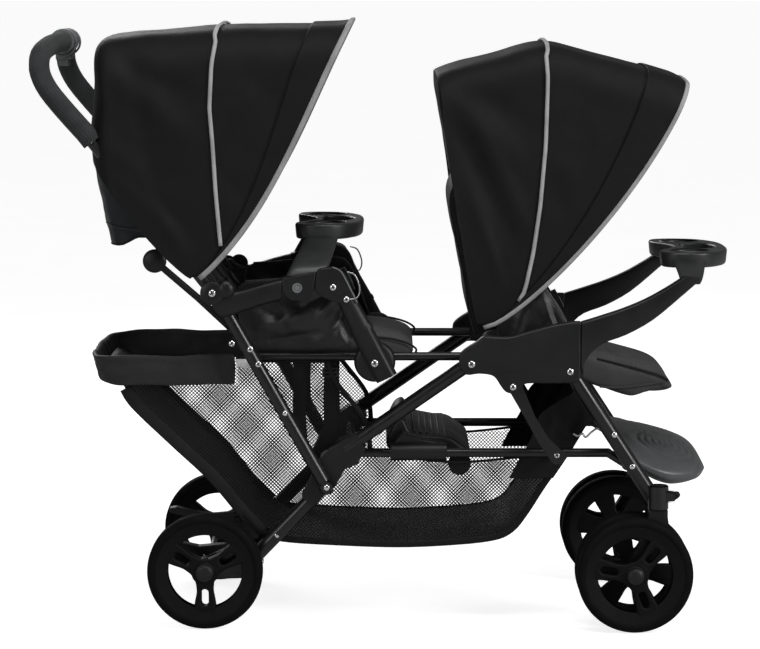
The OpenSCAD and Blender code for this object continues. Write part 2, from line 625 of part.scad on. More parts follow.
rear_leg_right();
rear_leg_left();
rear_axle();
cross_tube();
elbow_bracket_right();
elbow_bracket_left();
diagonal_tube_right();
diagonal_tube_left();
rear_post_right();
rear_post_left();
seat_rail_right();
seat_rail_left();
armrest_right();
armrest_left();
side_plate_right();
side_plate_left();
front_arm_right();
front_arm_left();
front_leg_right();
front_leg_left();
lower_bar_right();
lower_bar_left();
front_link_right();
front_link_left();
front_footrest();
rear_footrest();
basket();
rear_seat();
front_seat();
rear_buckle();
front_buckle();
rear_buckle_button();
front_buckle_button();
handle_tube();
handle_grip();
handle_console();
fold_trigger();
rear_canopy();
rear_canopy_band();
front_canopy();
front_canopy_band();
rear_seat_back();
front_seat_back();
rear_tray();
front_tray();
tray_button_right();
tray_button_left();
rear_wheel_right();
rear_wheel_left();
caster_right();
caster_left();
front_wheel_right_outer();
front_wheel_right_inner();
front_wheel_left_outer();
front_wheel_left_inner();
brake_pedal_right();
brake_pedal_left();
caster_lock_right();
caster_lock_left();
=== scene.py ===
"""Looks of the tandem double stroller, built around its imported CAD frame.

Shapes are worked out in millimetres in the row frame (front +X, left +Y, up +Z)
and turned into metres when a mesh is made.
"""
import math

import bmesh
import bpy
import numpy as np
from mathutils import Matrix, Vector, noise


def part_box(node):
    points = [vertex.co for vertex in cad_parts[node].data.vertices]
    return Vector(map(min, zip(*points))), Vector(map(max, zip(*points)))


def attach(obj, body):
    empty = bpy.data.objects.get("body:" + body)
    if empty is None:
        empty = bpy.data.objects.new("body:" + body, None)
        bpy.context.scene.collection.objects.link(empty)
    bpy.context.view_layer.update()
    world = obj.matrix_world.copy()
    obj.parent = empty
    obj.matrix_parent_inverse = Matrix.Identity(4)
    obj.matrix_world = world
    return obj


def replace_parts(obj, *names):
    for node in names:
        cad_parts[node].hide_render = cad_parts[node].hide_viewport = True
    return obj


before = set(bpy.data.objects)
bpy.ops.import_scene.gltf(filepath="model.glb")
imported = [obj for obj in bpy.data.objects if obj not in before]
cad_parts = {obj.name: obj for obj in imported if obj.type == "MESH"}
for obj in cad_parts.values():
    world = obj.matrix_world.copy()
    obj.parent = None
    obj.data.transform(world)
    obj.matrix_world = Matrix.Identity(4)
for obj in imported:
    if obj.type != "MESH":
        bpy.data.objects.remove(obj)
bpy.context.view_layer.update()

MM = 0.001
SIDES = (("right", -1), ("left", 1))


# ---- shape helpers ---------------------------------------------------------

def spline(points, steps, closed=False):
    """Catmull-Rom curve through points, with steps to each span."""
    p = np.array(points, float)
    n = len(p)
    out = []
    for i in range(n if closed else n - 1):
        if closed:
            a, b, c, d = p[i - 1], p[i], p[(i + 1) % n], p[(i + 2) % n]
        else:
            a, b, c, d = p[max(i - 1, 0)], p[i], p[i + 1], p[min(i + 2, n - 1)]
        for k in range(steps):
            t = k / steps
            out.append(0.5 * (2 * b + (c - a) * t + (2 * a - 5 * b + 4 * c - d) * t * t
                              + (3 * b - a - 3 * c + d) * t ** 3))
    if not closed:
        out.append(p[-1])
    return np.array(out)


def resample(points, count):
    """Points at equal distances along a line."""
    p = np.array(points, float)
    s = np.concatenate([[0], np.cumsum(np.linalg.norm(np.diff(p, axis=0), axis=1))])
    at = np.linspace(0, s[-1], count)
    return np.stack([np.interp(at, s, p[:, k]) for k in range(p.shape[1])], 1)


def flat(points, y):
    """Side view points (x, z) placed in the plane y."""
    return np.array([[p[0], y, p[1]] for p in points], float)


def mirrored(half):
    """A line of points (along, across), continued by its mirror image."""
    return half + [(u, -v) for u, v in half[::-1]]


def smoothstep(a, b, x):
    t = np.clip((x - a) / (b - a), 0, 1)
    return t * t * (3 - 2 * t)


def wobble(p, size, seed=0.0):
    """Smooth noise from -1 to 1 at a point, with the given size of its lumps in mm."""
    return noise.noise(Vector((p[0] / size + seed, p[1] / size + 1.7 * seed, p[2] / size - seed)))


# ---- mesh helpers ----------------------------------------------------------

def piece(name, verts, faces, mats, body=None, face_mats=None, smooth=True):
    """Makes a mesh object from millimetre points and lets it ride on a body."""
    mesh = bpy.data.meshes.new(name)
    points = [tuple(v * MM) for v in np.array(verts, float)]
    mesh.from_pydata(points, [], [tuple(map(int, face)) for face in faces])
    for m in mats if isinstance(mats, (list, tuple)) else [mats]:
        mesh.materials.append(m)
    if face_mats is not None:
        mesh.polygons.foreach_set("material_index", np.array(face_mats, np.int32))
    mesh.polygons.foreach_set("use_smooth", [smooth] * len(mesh.polygons))
    mesh.validate()
    mesh.update()
    obj = bpy.data.objects.new(name, mesh)
    bpy.context.scene.collection.objects.link(obj)
    if body:
        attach(obj, body)
    return obj


def grid_faces(rows, cols, close_cols=False, close_rows=False):
    """Faces of a grid of points, which may close on itself either way."""
    faces = []
    for i in range(rows if close_rows else rows - 1):
        for k in range(cols if close_cols else cols - 1):
            a, b = i * cols + k, i * cols + (k + 1) % cols
            c, d = ((i + 1) % rows) * cols + (k + 1) % cols, ((i + 1) % rows) * cols + k
            faces.append((a, b, c, d))
    return faces


def join(parts):
    """Joins (verts, faces) pairs into one pair."""
    verts, faces, base = [], [], 0
    for v, f in parts:
        verts.append(np.array(v, float))
        faces += [tuple(k + base for k in face) for face in f]
        base += len(v)
    return np.vstack(verts), faces


def loft(rings, endless=False):
    """Closed surface through rings of points, capped at its ends unless it is endless."""
    m = len(rings[0])
    verts = np.vstack(rings)
    faces = grid_faces(len(rings), m, close_cols=True, close_rows=endless)
    if not endless:
        faces.append(tuple(range(m - 1, -1, -1)))
        faces.append(tuple(range((len(rings) - 1) * m, len(rings) * m)))
    return verts, faces


def tangents(path):
    """Unit vectors along a line of points."""
    t = np.gradient(path, axis=0)
    return t / np.linalg.norm(t, axis=1)[:, None]


def sweep(path, section, up, scale=None, closed=False):
    """Section (side, normal) points carried along a path; the normal stays close to up."""
    p = np.array(path, float)
    t = tangents(p)
    s = np.cross(t, np.broadcast_to(np.array(up, float), p.shape))
    s /= np.maximum(np.linalg.norm(s, axis=1), 1e-9)[:, None]
    n = np.cross(s, t)
    size = np.ones(len(p)) if scale is None else scale
    rings = []
    for i in range(len(p)):
        rings.append(p[i] + size[i] * (section[:, :1] * s[i] + section[:, 1:] * n[i]))
    return loft(rings, closed)


def circle(r, m=12, squash=1.0):
    a = np.linspace(0, 2 * math.pi, m, endpoint=False)
    return np.stack([r * np.cos(a), r * squash * np.sin(a)], 1)


def oblong(w, t, m=3):
    """Rounded flat section of width w and thickness t."""
    r = t / 2
    pts = []
    for cx, a0 in ((w / 2 - r, -90), (-(w / 2 - r), 90)):
        for k in range(m + 1):
            a = math.radians(a0 + 180 * k / m)
            pts.append((cx + r * math.cos(a), r * math.sin(a)))
    return np.array(pts)


def tube(path, r, up=(0, 0, 1), m=12, closed=False):
    return sweep(path, circle(r, m), up, closed=closed)


def lathe(profile, centre, m=48, axis="y"):
    """Surface of revolution: profile holds (radius, offset along the axis)."""
    rings = []
    for k in range(m):
        a = 2 * math.pi * k / m
        c, s = math.cos(a), math.sin(a)
        if axis == "y":
            rings.append(np.array([[r * c, y, r * s] for r, y in profile]) + centre)
        else:
            rings.append(np.array([[r * c, r * s, y] for r, y in profile]) + centre)
    n = len(profile)
    return np.vstack(rings), grid_faces(m, n, close_rows=True)


def soften(obj, width, segments=3, angle=32):
    """Rounds the sharp edges of an object and shades it by angle."""
    if obj.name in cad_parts:
        weld = obj.modifiers.new("weld", "WELD")
        weld.merge_threshold = 2e-5
    b = obj.modifiers.new("round", "BEVEL")
    b.width = width * MM
    b.segments = segments
    b.limit_method = "ANGLE"
    b.angle_limit = math.radians(angle)
    b.harden_normals = False
    w = obj.modifiers.new("normals", "WEIGHTED_NORMAL")
    w.keep_sharp = True


def subdivided(obj):
    s = obj.modifiers.new("smooth", "SUBSURF")
    s.levels = s.render_levels = 1


def outward(obj):
    """Makes all faces look outwards."""
    bm = bmesh.new()
    bm.from_mesh(obj.data)
    bmesh.ops.recalc_face_normals(bm, faces=bm.faces)
    bm.to_mesh(obj.data)
    bm.free()


def solid(name, shape, mats, body, sharp=None, replaced=None, face_mats=None):
    """Closed piece from one (verts, faces) shape or a list of them.

    sharp: angle in degrees past which an edge stays a crease; replaced: the CAD node it stands for.
    """
    v, f = join(shape) if isinstance(shape, list) else shape
    obj = piece(name, v, f, mats, body, face_mats=face_mats)
    outward(obj)
    if sharp:
        obj.data.set_sharp_from_angle(angle=math.radians(sharp))
    if replaced:
        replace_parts(obj, replaced)
    return obj


def soft(name, shape, mats, body):
    """Closed piece of cloth, smoothed once."""
    subdivided(solid(name, shape, mats, body))


def applied(obj):
    """Writes the object's modifiers into its mesh."""
    dg = bpy.context.evaluated_depsgraph_get()
    mesh = bpy.data.meshes.new_from_object(obj.evaluated_get(dg))
    obj.modifiers.clear()
    obj.data = mesh


def sheet_normals(grid):
    """Unit normals of a grid of points (rows, cols, 3)."""
    normal = np.cross(np.gradient(grid, axis=0), np.gradient(grid, axis=1))
    return normal / np.maximum(np.linalg.norm(normal, axis=2), 1e-9)[:, :, None]


def closed_sheet(outer, inner):
    """Closed thin sheet between two grids of points."""
    rows, cols = outer.shape[:2]
    n = rows * cols
    faces = grid_faces(rows, cols)
    back = [tuple(reversed([k + n for k in face])) for face in faces]
    loop = list(range(cols))
    loop += [i * cols + cols - 1 for i in range(1, rows)]
    loop += [(rows - 1) * cols + k for k in range(cols - 2, -1, -1)]
    loop += [i * cols for i in range(rows - 2, 0, -1)]
    rim = [(loop[k], loop[k - 1], loop[k - 1] + n, loop[k] + n) for k in range(len(loop))]
    return np.vstack([outer.reshape(-1, 3), inner.reshape(-1, 3)]), faces + back + rim


def thick_sheet(grid, thick):
    """Closed thin sheet with a grid of points in its middle."""
    half = sheet_normals(grid) * thick / 2
    return closed_sheet(grid + half, grid - half)


def fold(x, z, start, end, width, height, tail=0.03):
    """Height at (x, z) of one soft fold running between two side view points."""
    a, b = np.array(start, float), np.array(end, float)
    d = b - a
    t = np.clip(np.dot([x - a[0], z - a[1]], d) / np.dot(d, d), 0, 1)
    off = np.hypot(x - a[0] - t * d[0], z - a[1] - t * d[1])
    ends = math.sin(math.pi * min(max(t, tail), 1 - tail)) ** 0.5
    return height * math.exp(-(off / width) ** 2) * ends


# ---- materials -------------------------------------------------------------

class Nodes:
    """Small helper around one material's node tree."""

    def __init__(self, name):
        self.mat = bpy.data.materials.new(name)
        self.mat.use_nodes = True
        self.tree = self.mat.node_tree
        self.bsdf = self.tree.nodes["Principled BSDF"]
        self.coord = self.add("ShaderNodeTexCoord").outputs["Object"]
        self.height = None

    def add(self, kind, **values):
        node = self.tree.nodes.new(kind)
        for k, v in values.items():
            setattr(node, k, v)
        return node

    def link(self, a, b):
        self.tree.links.new(a, b)

    def stretched(self, scale):
        node = self.add("ShaderNodeMapping")
        node.inputs["Scale"].default_value = scale
        self.link(self.coord, node.inputs["Vector"])
        return node.outputs["Vector"]

    def noise(self, size_mm, detail=3.0, vector=None):
        node = self.add("ShaderNodeTexNoise")
        node.inputs["Scale"].default_value = 1000.0 / size_mm
        node.inputs["Detail"].default_value = detail
        self.link(vector or self.coord, node.inputs["Vector"])
        return node.outputs["Fac"]

    def cells(self, size_mm):
        node = self.add("ShaderNodeTexVoronoi")
        node.inputs["Scale"].default_value = 1000.0 / size_mm
        self.link(self.coord, node.inputs["Vector"])
        return node.outputs["Distance"]

    def stripes(self, direction, pitch_mm):
        """Sine stripes across a direction, from 0 to 1."""
        dot = self.add("ShaderNodeVectorMath", operation="DOT_PRODUCT")
        self.link(self.coord, dot.inputs[0])
        d = Vector(direction).normalized()
        dot.inputs[1].default_value = d * (2 * math.pi * 1000.0 / pitch_mm)
        sine = self.math("SINE", dot.outputs["Value"])
        return self.math("MULTIPLY_ADD", sine, 0.5, 0.5)

    def math(self, operation, *values):
        node = self.add("ShaderNodeMath", operation=operation)
        for i, v in enumerate(values):
            if isinstance(v, (int, float)):
                node.inputs[i].default_value = v
            else:
                self.link(v, node.inputs[i])
        return node.outputs[0]

    def spread(self, fac, low, high, from_low=0.3, from_high=0.7):
        """Maps a 0 to 1 value to a range."""
        node = self.add("ShaderNodeMapRange")
        node.inputs["From Min"].default_value = from_low
        node.inputs["From Max"].default_value = from_high
        node.inputs["To Min"].default_value = low
        node.inputs["To Max"].default_value = high
        self.link(fac, node.inputs["Value"])
        return node.outputs["Result"]

    def colours(self, fac, a, b):
        node = self.add("ShaderNodeMix", data_type="RGBA")
        self.link(fac, node.inputs["Factor"])
        for socket, value in (("A", a), ("B", b)):
            target = [s for s in node.inputs if s.name == socket and s.type == "RGBA"][0]
            if isinstance(value, (tuple, list)):
                target.default_value = (*value, 1)
            else:
                self.link(value, target)
        return [s for s in node.outputs if s.type == "RGBA"][0]

    def bump(self, height, distance_mm, strength=1.0):
        node = self.add("ShaderNodeBump")
        node.inputs["Distance"].default_value = distance_mm * MM
        node.inputs["Strength"].default_value = strength
        self.link(height, node.inputs["Height"])
        if self.height is not None:
            self.link(self.height, node.inputs["Normal"])
        self.height = node.outputs["Normal"]
        self.link(self.height, self.bsdf.inputs["Normal"])

    def set(self, **values):
        names = {"rough": "Roughness", "metal": "Metallic", "sheen": "Sheen Weight",
                 "sheen_rough": "Sheen Roughness", "coat": "Coat Weight", "coat_rough": "Coat Roughness",
                 "spec": "Specular IOR Level", "color": "Base Color", "sheen_tint": "Sheen Tint"}
        for k, v in values.items():
            socket = self.bsdf.inputs[names[k]]
            if isinstance(v, (int, float)):
                socket.default_value = v
            elif isinstance(v, (tuple, list)):
                socket.default_value = (*v, 1)
            else:
                self.link(v, socket)


def gray(level, warm=0.0):
    """Linear colour of a gray given as 0 to 255 on screen; warm below 0 leans blue."""
    x = level / 255.0
    lin = ((x + 0.055) / 1.055) ** 2.4 if x > 0.04045 else x / 12.92
    return (lin * (1 + warm), lin, lin * (1 - warm))


def woven(name, level, pitch=1.1, rough=0.62, sheen=0.25, warm=0.0, wrinkle=0.5,
          gloss=0.12):
    """Plain woven cloth: crossing threads, soft creases and a little sheen."""
    n = Nodes(name)
    warp = n.stripes((1, 1, 0), pitch)
    weft = n.stripes((0.12, -0.12, 1), pitch)
    threads = n.math("MAXIMUM", warp, weft)
    blotch = n.noise(38, 3)
    fuzz = n.noise(1.6, 2)
    tone = n.colours(n.spread(blotch, 0, 1), gray(level * 0.86, warm), gray(level * 1.14, warm))
    n.set(color=n.colours(n.math("MULTIPLY", threads, 0.35), tone, gray(level * 1.5, warm)))
    n.set(rough=n.spread(fuzz, rough - 0.07, rough + 0.1), sheen=sheen * 0.08, sheen_rough=0.45, spec=gloss)
    n.bump(n.noise(24, 4), 1.6, wrinkle)
    n.bump(threads, 0.22, 0.5)
    return n.mat


def moulded(name, level, rough=0.45, grain=0.9, warm=-0.03, coat=0.0, scuff=0.3):
    """Injection moulded plastic with a fine leather-like grain and rubbed patches."""
    n = Nodes(name)
    rub = n.noise(60, 5)
    fine = n.noise(grain, 2)
    tone = n.colours(n.spread(rub, 0, 1), gray(level * 0.9, warm), gray(level * 1.12, warm))
    specks = n.spread(n.noise(7, 6), 0, scuff, 0.62, 0.75)
    n.set(color=n.colours(specks, tone, gray(level * 1.7, warm)))
    n.set(rough=n.spread(rub, rough - 0.06, rough + 0.08), spec=0.3, coat=coat, coat_rough=0.3)
    n.bump(fine, 0.12, 0.6)
    n.bump(n.cells(grain * 2.4), 0.08, 0.4)
    return n.mat


def painted(name, level, rough=0.3):
    """Powder-coated steel tube: faint orange peel, small chips and streaks."""
    n = Nodes(name)
    streak = n.noise(30, 4, n.stretched((1, 1, 0.3)))
    chips = n.spread(n.noise(4, 5), 0, 0.5, 0.7, 0.76)
    tone = n.colours(n.spread(streak, 0, 1), gray(level * 0.9), gray(level * 1.15))
    n.set(color=n.colours(chips, tone, gray(level * 2.0)))
    n.set(rough=n.spread(streak, rough - 0.05, rough + 0.1), coat=0.12, coat_rough=0.2, spec=0.35)
    n.bump(n.noise(2.2, 2), 0.05, 0.5)
    return n.mat


def bright_metal(name, level, rough, brushed=(1, 1, 1)):
    n = Nodes(name)
    lines = n.noise(1.5, 4, n.stretched(brushed))
    n.set(color=n.colours(n.spread(lines, 0, 1), gray(level * 0.88), gray(level)))
    n.set(rough=n.spread(lines, rough * 0.8, rough * 1.4), metal=1.0)
    n.bump(lines, 0.03, 0.5)
    return n.mat


def foam_rubber(name, level):
    """Closed-cell foam of the grip: small pits and a dusty surface."""
    n = Nodes(name)
    pits = n.cells(1.5)
    dust = n.noise(22, 4)
    n.set(color=n.colours(n.spread(dust, 0, 1), gray(level * 0.85, -0.04), gray(level * 1.15, -0.04)))
    n.set(rough=n.spread(dust, 0.82, 0.95), sheen=0.05, sheen_rough=0.6, spec=0.15)
    n.bump(pits, 0.35, 0.7)
    n.bump(n.noise(3, 4), 0.2, 0.5)
    return n.mat


def tyre_rubber(name, level, rough=0.6):
    """Tyre and wheel plastic: matt with dust and faint turning marks."""
    n = Nodes(name)
    dust = n.noise(18, 5)
    n.set(color=n.colours(n.spread(dust, 0, 1), gray(level * 0.8), gray(level * 1.2)))
    n.set(rough=n.spread(dust, rough - 0.08, rough + 0.12), spec=0.12)
    n.bump(n.noise(1.2, 3), 0.12, 0.6)
    n.bump(n.noise(9, 2), 0.25, 0.3)
    return n.mat


LOOK = {
    "cloth": woven("canopy_cloth", 15, pitch=1.0, rough=0.6, sheen=0.12, wrinkle=0.35),
    "cloth_soft": woven("seat_cloth", 16, pitch=1.3, rough=0.58, sheen=0.25, wrinkle=0.6),
    "cloth_gray": woven("quilted_cloth", 50, pitch=1.5, rough=0.66, sheen=0.35, wrinkle=0.5),
    "vinyl": woven("seat_side_cloth", 8, pitch=1.2, rough=0.36, sheen=0.1, wrinkle=1.0, gloss=0.5),
    "vinyl_blue": woven("back_panel_cloth", 17, pitch=1.2, rough=0.42, sheen=0.1, warm=-0.25, wrinkle=0.8,
                        gloss=0.25),
    "collar": woven("collar_cloth", 34, pitch=1.4, rough=0.55, sheen=0.2, wrinkle=0.9),
    "piping_dark": woven("dark_piping", 46, pitch=1.6, rough=0.55),
    "binding": woven("binding_tape", 24, pitch=2.0, rough=0.7, sheen=0.3),
    "piping": woven("gray_piping", 122, pitch=1.6, rough=0.6, sheen=0.2),
    "edge_tape": woven("gray_edge_tape", 112, pitch=1.8, rough=0.55, sheen=0.2),
    "webbing": woven("harness_webbing", 20, pitch=2.4, rough=0.6, sheen=0.2),
    "light_cloth": woven("light_backing_cloth", 176, pitch=1.6, rough=0.8, sheen=0.2),
    "thread": woven("sewing_thread", 50, pitch=0.9, rough=0.7),
    "net": woven("basket_net", 20, pitch=0.9, rough=0.6, sheen=0.15),
    "plastic": moulded("charcoal_plastic", 15, rough=0.42),
    "plastic_dark": moulded("black_plastic", 14, rough=0.45),
    "plastic_tray": moulded("tray_plastic", 36, rough=0.38, coat=0.1),
    # footrest: its own lighter gray, raised further to paint in the highlight on its top; partly real colour,
    # partly painted highlight
    "plastic_step_highlit": moulded("footrest_plastic_painted_highlight", 66, rough=0.36, coat=0.1),
    "plastic_gray": moulded("gray_plastic", 94, rough=0.45),
    "paint": painted("frame_paint", 14),
    "foam": foam_rubber("grip_foam", 42),
    "wheel": tyre_rubber("wheel_plastic", 8, 0.55),
    "tyre": tyre_rubber("tyre_rubber", 3, 0.75),
    "chrome": bright_metal("bright_hardware", 226, 0.16),
    "wire": bright_metal("bent_wire", 180, 0.3),
    "axle": bright_metal("axle_steel", 150, 0.35, (1, 0.1, 1)),
}


def cad(material, *names, bevel=0.0, segments=2):
    """Gives CAD nodes their material and, where asked, rounded edges."""
    for name in names:
        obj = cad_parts[name]
        obj.data.materials.clear()
        obj.data.materials.append(material)
        obj.data.polygons.foreach_set("material_index", [0] * len(obj.data.polygons))
        if bevel:
            soften(obj, bevel, segments, 40)


def fattened(names, by):
    """The tubes are drawn a little thicker than their CAD, as in the photo."""
    for name in names:
        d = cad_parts[name].modifiers.new("thicker", "DISPLACE")
        d.mid_level = 0
        d.strength = by * MM


def both(stem):
    return [f"{stem}_{side}" for side, _ in SIDES]


fattened(both("rear_post") + both("front_leg") + both("diagonal_tube") + both("rear_leg"), 1.8)
cad(LOOK["paint"], *both("rear_post"), *both("seat_rail"), *both("lower_bar"), *both("diagonal_tube"),
    *both("front_leg"), *both("rear_leg"), *both("front_link"), "cross_tube", "handle_tube")
cad(LOOK["plastic_dark"], *both("elbow_bracket"), *both("caster"), "rear_footrest", *both("brake_pedal"),
    *both("caster_lock"), "rear_buckle", "front_buckle", bevel=1.5)
cad(LOOK["plastic"], *both("armrest"), *both("side_plate"), *both("front_arm"), "front_footrest")
cad(LOOK["plastic_tray"], "rear_tray", "front_tray")
cad(LOOK["plastic_gray"], "handle_console", "fold_trigger", "rear_buckle_button", "front_buckle_button",
    *both("tray_button"), bevel=1.0)
cad(LOOK["foam"], "handle_grip")
cad(LOOK["axle"], "rear_axle")


# ---- canopies --------------------------------------------------------------

class Canopy:
    """Arched cloth over bows that fan out from one pivot.

    Each bow is a row (tip x, tip z, bulge, low bulge), from the back one to the front one: in the side
    view it runs from the pivot to its tip and bends forwards by the bulges.
    """

    def __init__(self, pivot, bows, half, corner, creases=()):
        self.pivot = np.array(pivot, float)
        self.bows = spline(bows, 7)
        self.half, self.corner = half, corner
        self.creases = creases

    def relief(self, p):
        """How far the cloth stands out at a point: lumps all over, and its creases."""
        lumps = 1.8 * wobble(p, 90, 3.1) + 1.1 * wobble(p, 36, 7.7)
        return lumps + CREASE_DEPTH * sum(fold(p[0], p[2], *crease, tail=0.02) for crease in self.creases)

    def rib(self, row, grow, side_steps=26, corner_steps=7, top_steps=8):
        """Half bow from the near hub to the middle of the top, as points."""
        tip, bulge, low = row[:2], row[2], row[3]
        d = tip - self.pivot
        length = np.linalg.norm(d) + grow
        d /= np.linalg.norm(d)
        normal = np.array([d[1], -d[0]])
        w, rc = self.half + grow, self.corner
        base = self.pivot + HUB_R * d

        def at(u):
            k = np.clip(u / length, 0, 1)
            out = bulge * (4 * k * (1 - k)) ** 0.68 + low * 6.75 * k * (1 - k) ** 2
            return base + d * u + normal * out

        total = length - HUB_R
        pts = []
        for k in range(side_steps):
            u = (total - rc) * k / side_steps
            x, z = at(u)
            pts.append((x, w - 3 * (1 - u / total), z))
        for k in range(corner_steps):
            a = math.pi / 2 * k / corner_steps
            x, z = at(total - rc + rc * math.sin(a))
            pts.append((x, w - rc * (1 - math.cos(a)), z))
        for k in range(top_steps + 1):
            f = k / top_steps
            x, z = at(total + 5 * math.sin(f * math.pi / 2))
            pts.append((x, (w - rc) * (1 - f), z))
        return np.array(pts)

    def bow(self, u, grow):
        """Whole bow at a place u (0 back to 1 front), from near hub to far hub."""
        i = u * (len(self.bows) - 1)
        k = min(int(i), len(self.bows) - 2)
        half = self.rib(self.bows[k] * (1 - (i - k)) + self.bows[k + 1] * (i - k), grow)
        return np.vstack([half * [1, -1, 1], half[-2::-1]])

    def sheet(self, name, rows, grow, body, relief=1.0):
        """Cloth over all the bows as a closed thin sheet with folds."""
        verts = np.array([self.bow(u, grow) for u in np.linspace(0, 1, rows)])
        cols = verts.shape[1]
        normal = sheet_normals(verts)
        middle = (rows // 2, cols // 2)
        if np.dot(normal[middle], verts[middle] - [self.pivot[0], 0, self.pivot[1]]) < 0:
            normal = -normal
        fade = np.sin(np.pi * np.clip(np.linspace(0, 1, cols), 0.01, 0.99)) ** 0.4
        for i in range(rows):
            across = math.sin(math.pi * i / (rows - 1))
            for k in range(cols):
                lift = relief * self.relief(verts[i, k]) * fade[k] * (0.25 + 0.75 * across)
                verts[i, k] = verts[i, k] + normal[i, k] * lift
        v, f = closed_sheet(verts, verts - normal * CANOPY_CLOTH)
        obj = piece(name, v, f, LOOK["cloth"], body)
        subdivided(obj)
        return obj

    def tape(self, name, u, width, thick, grow, mat, body, line=None):
        """Flat tape sewn along a bow; line gives its own course over the sides, as (x, z) upwards."""
        count = 140
        path = self.bow(u, grow)
        if line:
            x, z = np.array(line).T
            path = path[path[:, 2] > z[0]]
            side = path[:, 2] < z[-1]
            path[side, 0] = np.interp(path[side, 2], z, x)
        path = resample(path, count)
        out = path - [self.pivot[0], 0, self.pivot[1]]
        out[:, 1] *= 2.5
        # the tape lies on the sheet: its wide side points along the stroller
        before, after = (resample(self.bow(np.clip(u + step, 0, 1), grow), count) for step in (-0.02, 0.02))
        n = np.cross(tangents(path), after - before)
        n /= np.linalg.norm(n, axis=1)[:, None]
        if np.dot(n[count // 2], out[count // 2]) < 0:
            n = -n
        piece(name, *sweep(path, oblong(width, thick), n), mat, body)


HUB_R = 14
CANOPY_CLOTH = 2.4
CREASE_DEPTH = 1.3

REAR_PIVOT = (-328, 608)
REAR_BOWS = [(-506, 824, -12, -2), (-509, 866, -8, 0), (-504, 948, -6, 2), (-499, 1022, -8, 6),
             (-446, 1037, -12, 14), (-370, 1043, -16, 26), (-285, 1050, -22, 33), (-200, 1051, -10, 28),
             (-116, 1052, 0, 22)]
REAR_BAND = [(-132, 1051, 0, 24), (-104, 1052, 1, 23), (-84, 1053, 3, 22), (-63, 1056, 5, 22)]
REAR_PIPING = [(-283, 665), (-292, 767), (-297, 852), (-302, 914), (-298, 990), (-290, 1034)]
REAR_CREASES = [((-490, 1010), (-330, 930), 22, -5), ((-470, 980), (-330, 850), 26, 5),
                ((-440, 1010), (-400, 780), 20, -4), ((-500, 880), (-380, 700), 22, 5),
                ((-480, 830), (-330, 690), 16, -5), ((-420, 790), (-340, 650), 14, 4),
                ((-280, 900), (-190, 960), 22, 4), ((-285, 800), (-215, 740), 12, -5),
                ((-285, 760), (-240, 700), 11, 4), ((-260, 1010), (-170, 900), 26, -4)]

FRONT_PIVOT = (164, 516)
FRONT_BOWS = [(121, 788, -4, 0), (101, 880, 0, 2), (89, 954, 2, 8), (101, 974, 6, 16), (190, 999, 14, 28),
              (278, 1021, 22, 36), (372, 1000, 36, 20), (466, 978, 46, 4)]
FRONT_BAND = [(450, 981, 44, 6), (476, 974, 47, 4), (500, 967, 49, 2), (520, 957, 49, 0)]
FRONT_PIPING = [(232, 570), (245, 592), (259, 657), (271, 741), (280, 848), (283, 961), (280, 1006)]
FRONT_CREASES = [((115, 950), (260, 880), 24, -5), ((120, 930), (250, 800), 26, 5),
                 ((125, 880), (240, 640), 18, -6), ((150, 900), (250, 700), 16, 5),
                 ((150, 760), (215, 600), 16, 5), ((180, 720), (225, 590), 10, -4),
                 ((290, 820), (340, 790), 14, 4), ((285, 760), (330, 730), 10, -4),
                 ((300, 960), (430, 900), 30, -3)]


def canopy(prefix, body, pivot, half, corner, bows, band_bows, creases, piping, piping_bow, tape_width):
    """Main cloth of a canopy with its piping, and the front band that folds back over it."""
    main = Canopy(pivot, bows, half, corner, creases)
    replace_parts(main.sheet(f"{prefix}_canopy_sheet", 96, 0, body), f"{prefix}_canopy")
    at = piping_bow / (len(bows) - 1)
    main.tape(f"{prefix}_canopy_mid_piping", at, 7.5, 5.2, 2.6, LOOK["piping"], body, piping)
    front = Canopy(pivot, band_bows, half, corner)
    node = f"{prefix}_canopy_band"
    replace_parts(front.sheet(f"{prefix}_canopy_front_sheet", 14, 4.6, node, relief=0.4), node)
    front.tape(f"{prefix}_canopy_front_tape", 0.98, tape_width, 4.6, 4.8, LOOK["edge_tape"], node)


canopy("rear", "handle", REAR_PIVOT, 254.0, 70.0, REAR_BOWS, REAR_BAND, REAR_CREASES,
       REAR_PIPING, piping_bow=6, tape_width=10)
canopy("front", "chassis", FRONT_PIVOT, 185.5, 56.0, FRONT_BOWS, FRONT_BAND, FRONT_CREASES,
       FRONT_PIPING, piping_bow=5, tape_width=8)


# ---- basket ----------------------------------------------------------------

BASKET_HALF = 173
BASKET_FLOOR, BASKET_DEPTH = 145, 320
NET_STEP = 3.3
NET_HOLE = 0.7
BASKET_PROFILE = [(-500, 452), (-478, 440), (-462, 428), (-441, 396), (-371, 327), (-305, 265), (-256, 205),
                  (-222, 166), (-182, 151), (-96, 145), (20, 141), (120, 145), (190, 153), (222, 167),
                  (246, 196), (280, 250), (315, 300), (344, 345), (350, 372), (346, 405)]
NET_TOP = [(320, 308), (235, 297), (125, 288), (20, 300), (-24, 312), (-34, 364), (-86, 434), (-98, 468),
           (-262, 468), (-262, 430), (-470, 440), (-492, 450)]


def inside(poly, x, z):
    """True when a side view point lies inside a polygon."""
    hit = False
    for i in range(len(poly)):
        (x0, z0), (x1, z1) = poly[i - 1], poly[i]
        if (z0 > z) != (z1 > z) and x < (x1 - x0) * (z - z0) / (z1 - z0) + x0:
            hit = not hit
    return hit


def basket_width(z):
    """Half width of the basket at a height: wider at the rim, bulging half way up."""
    up = np.clip((z - BASKET_FLOOR) / BASKET_DEPTH, 0, 1)
    return BASKET_HALF + 12 * up ** 1.5 + 5 * math.sin(math.pi * up)


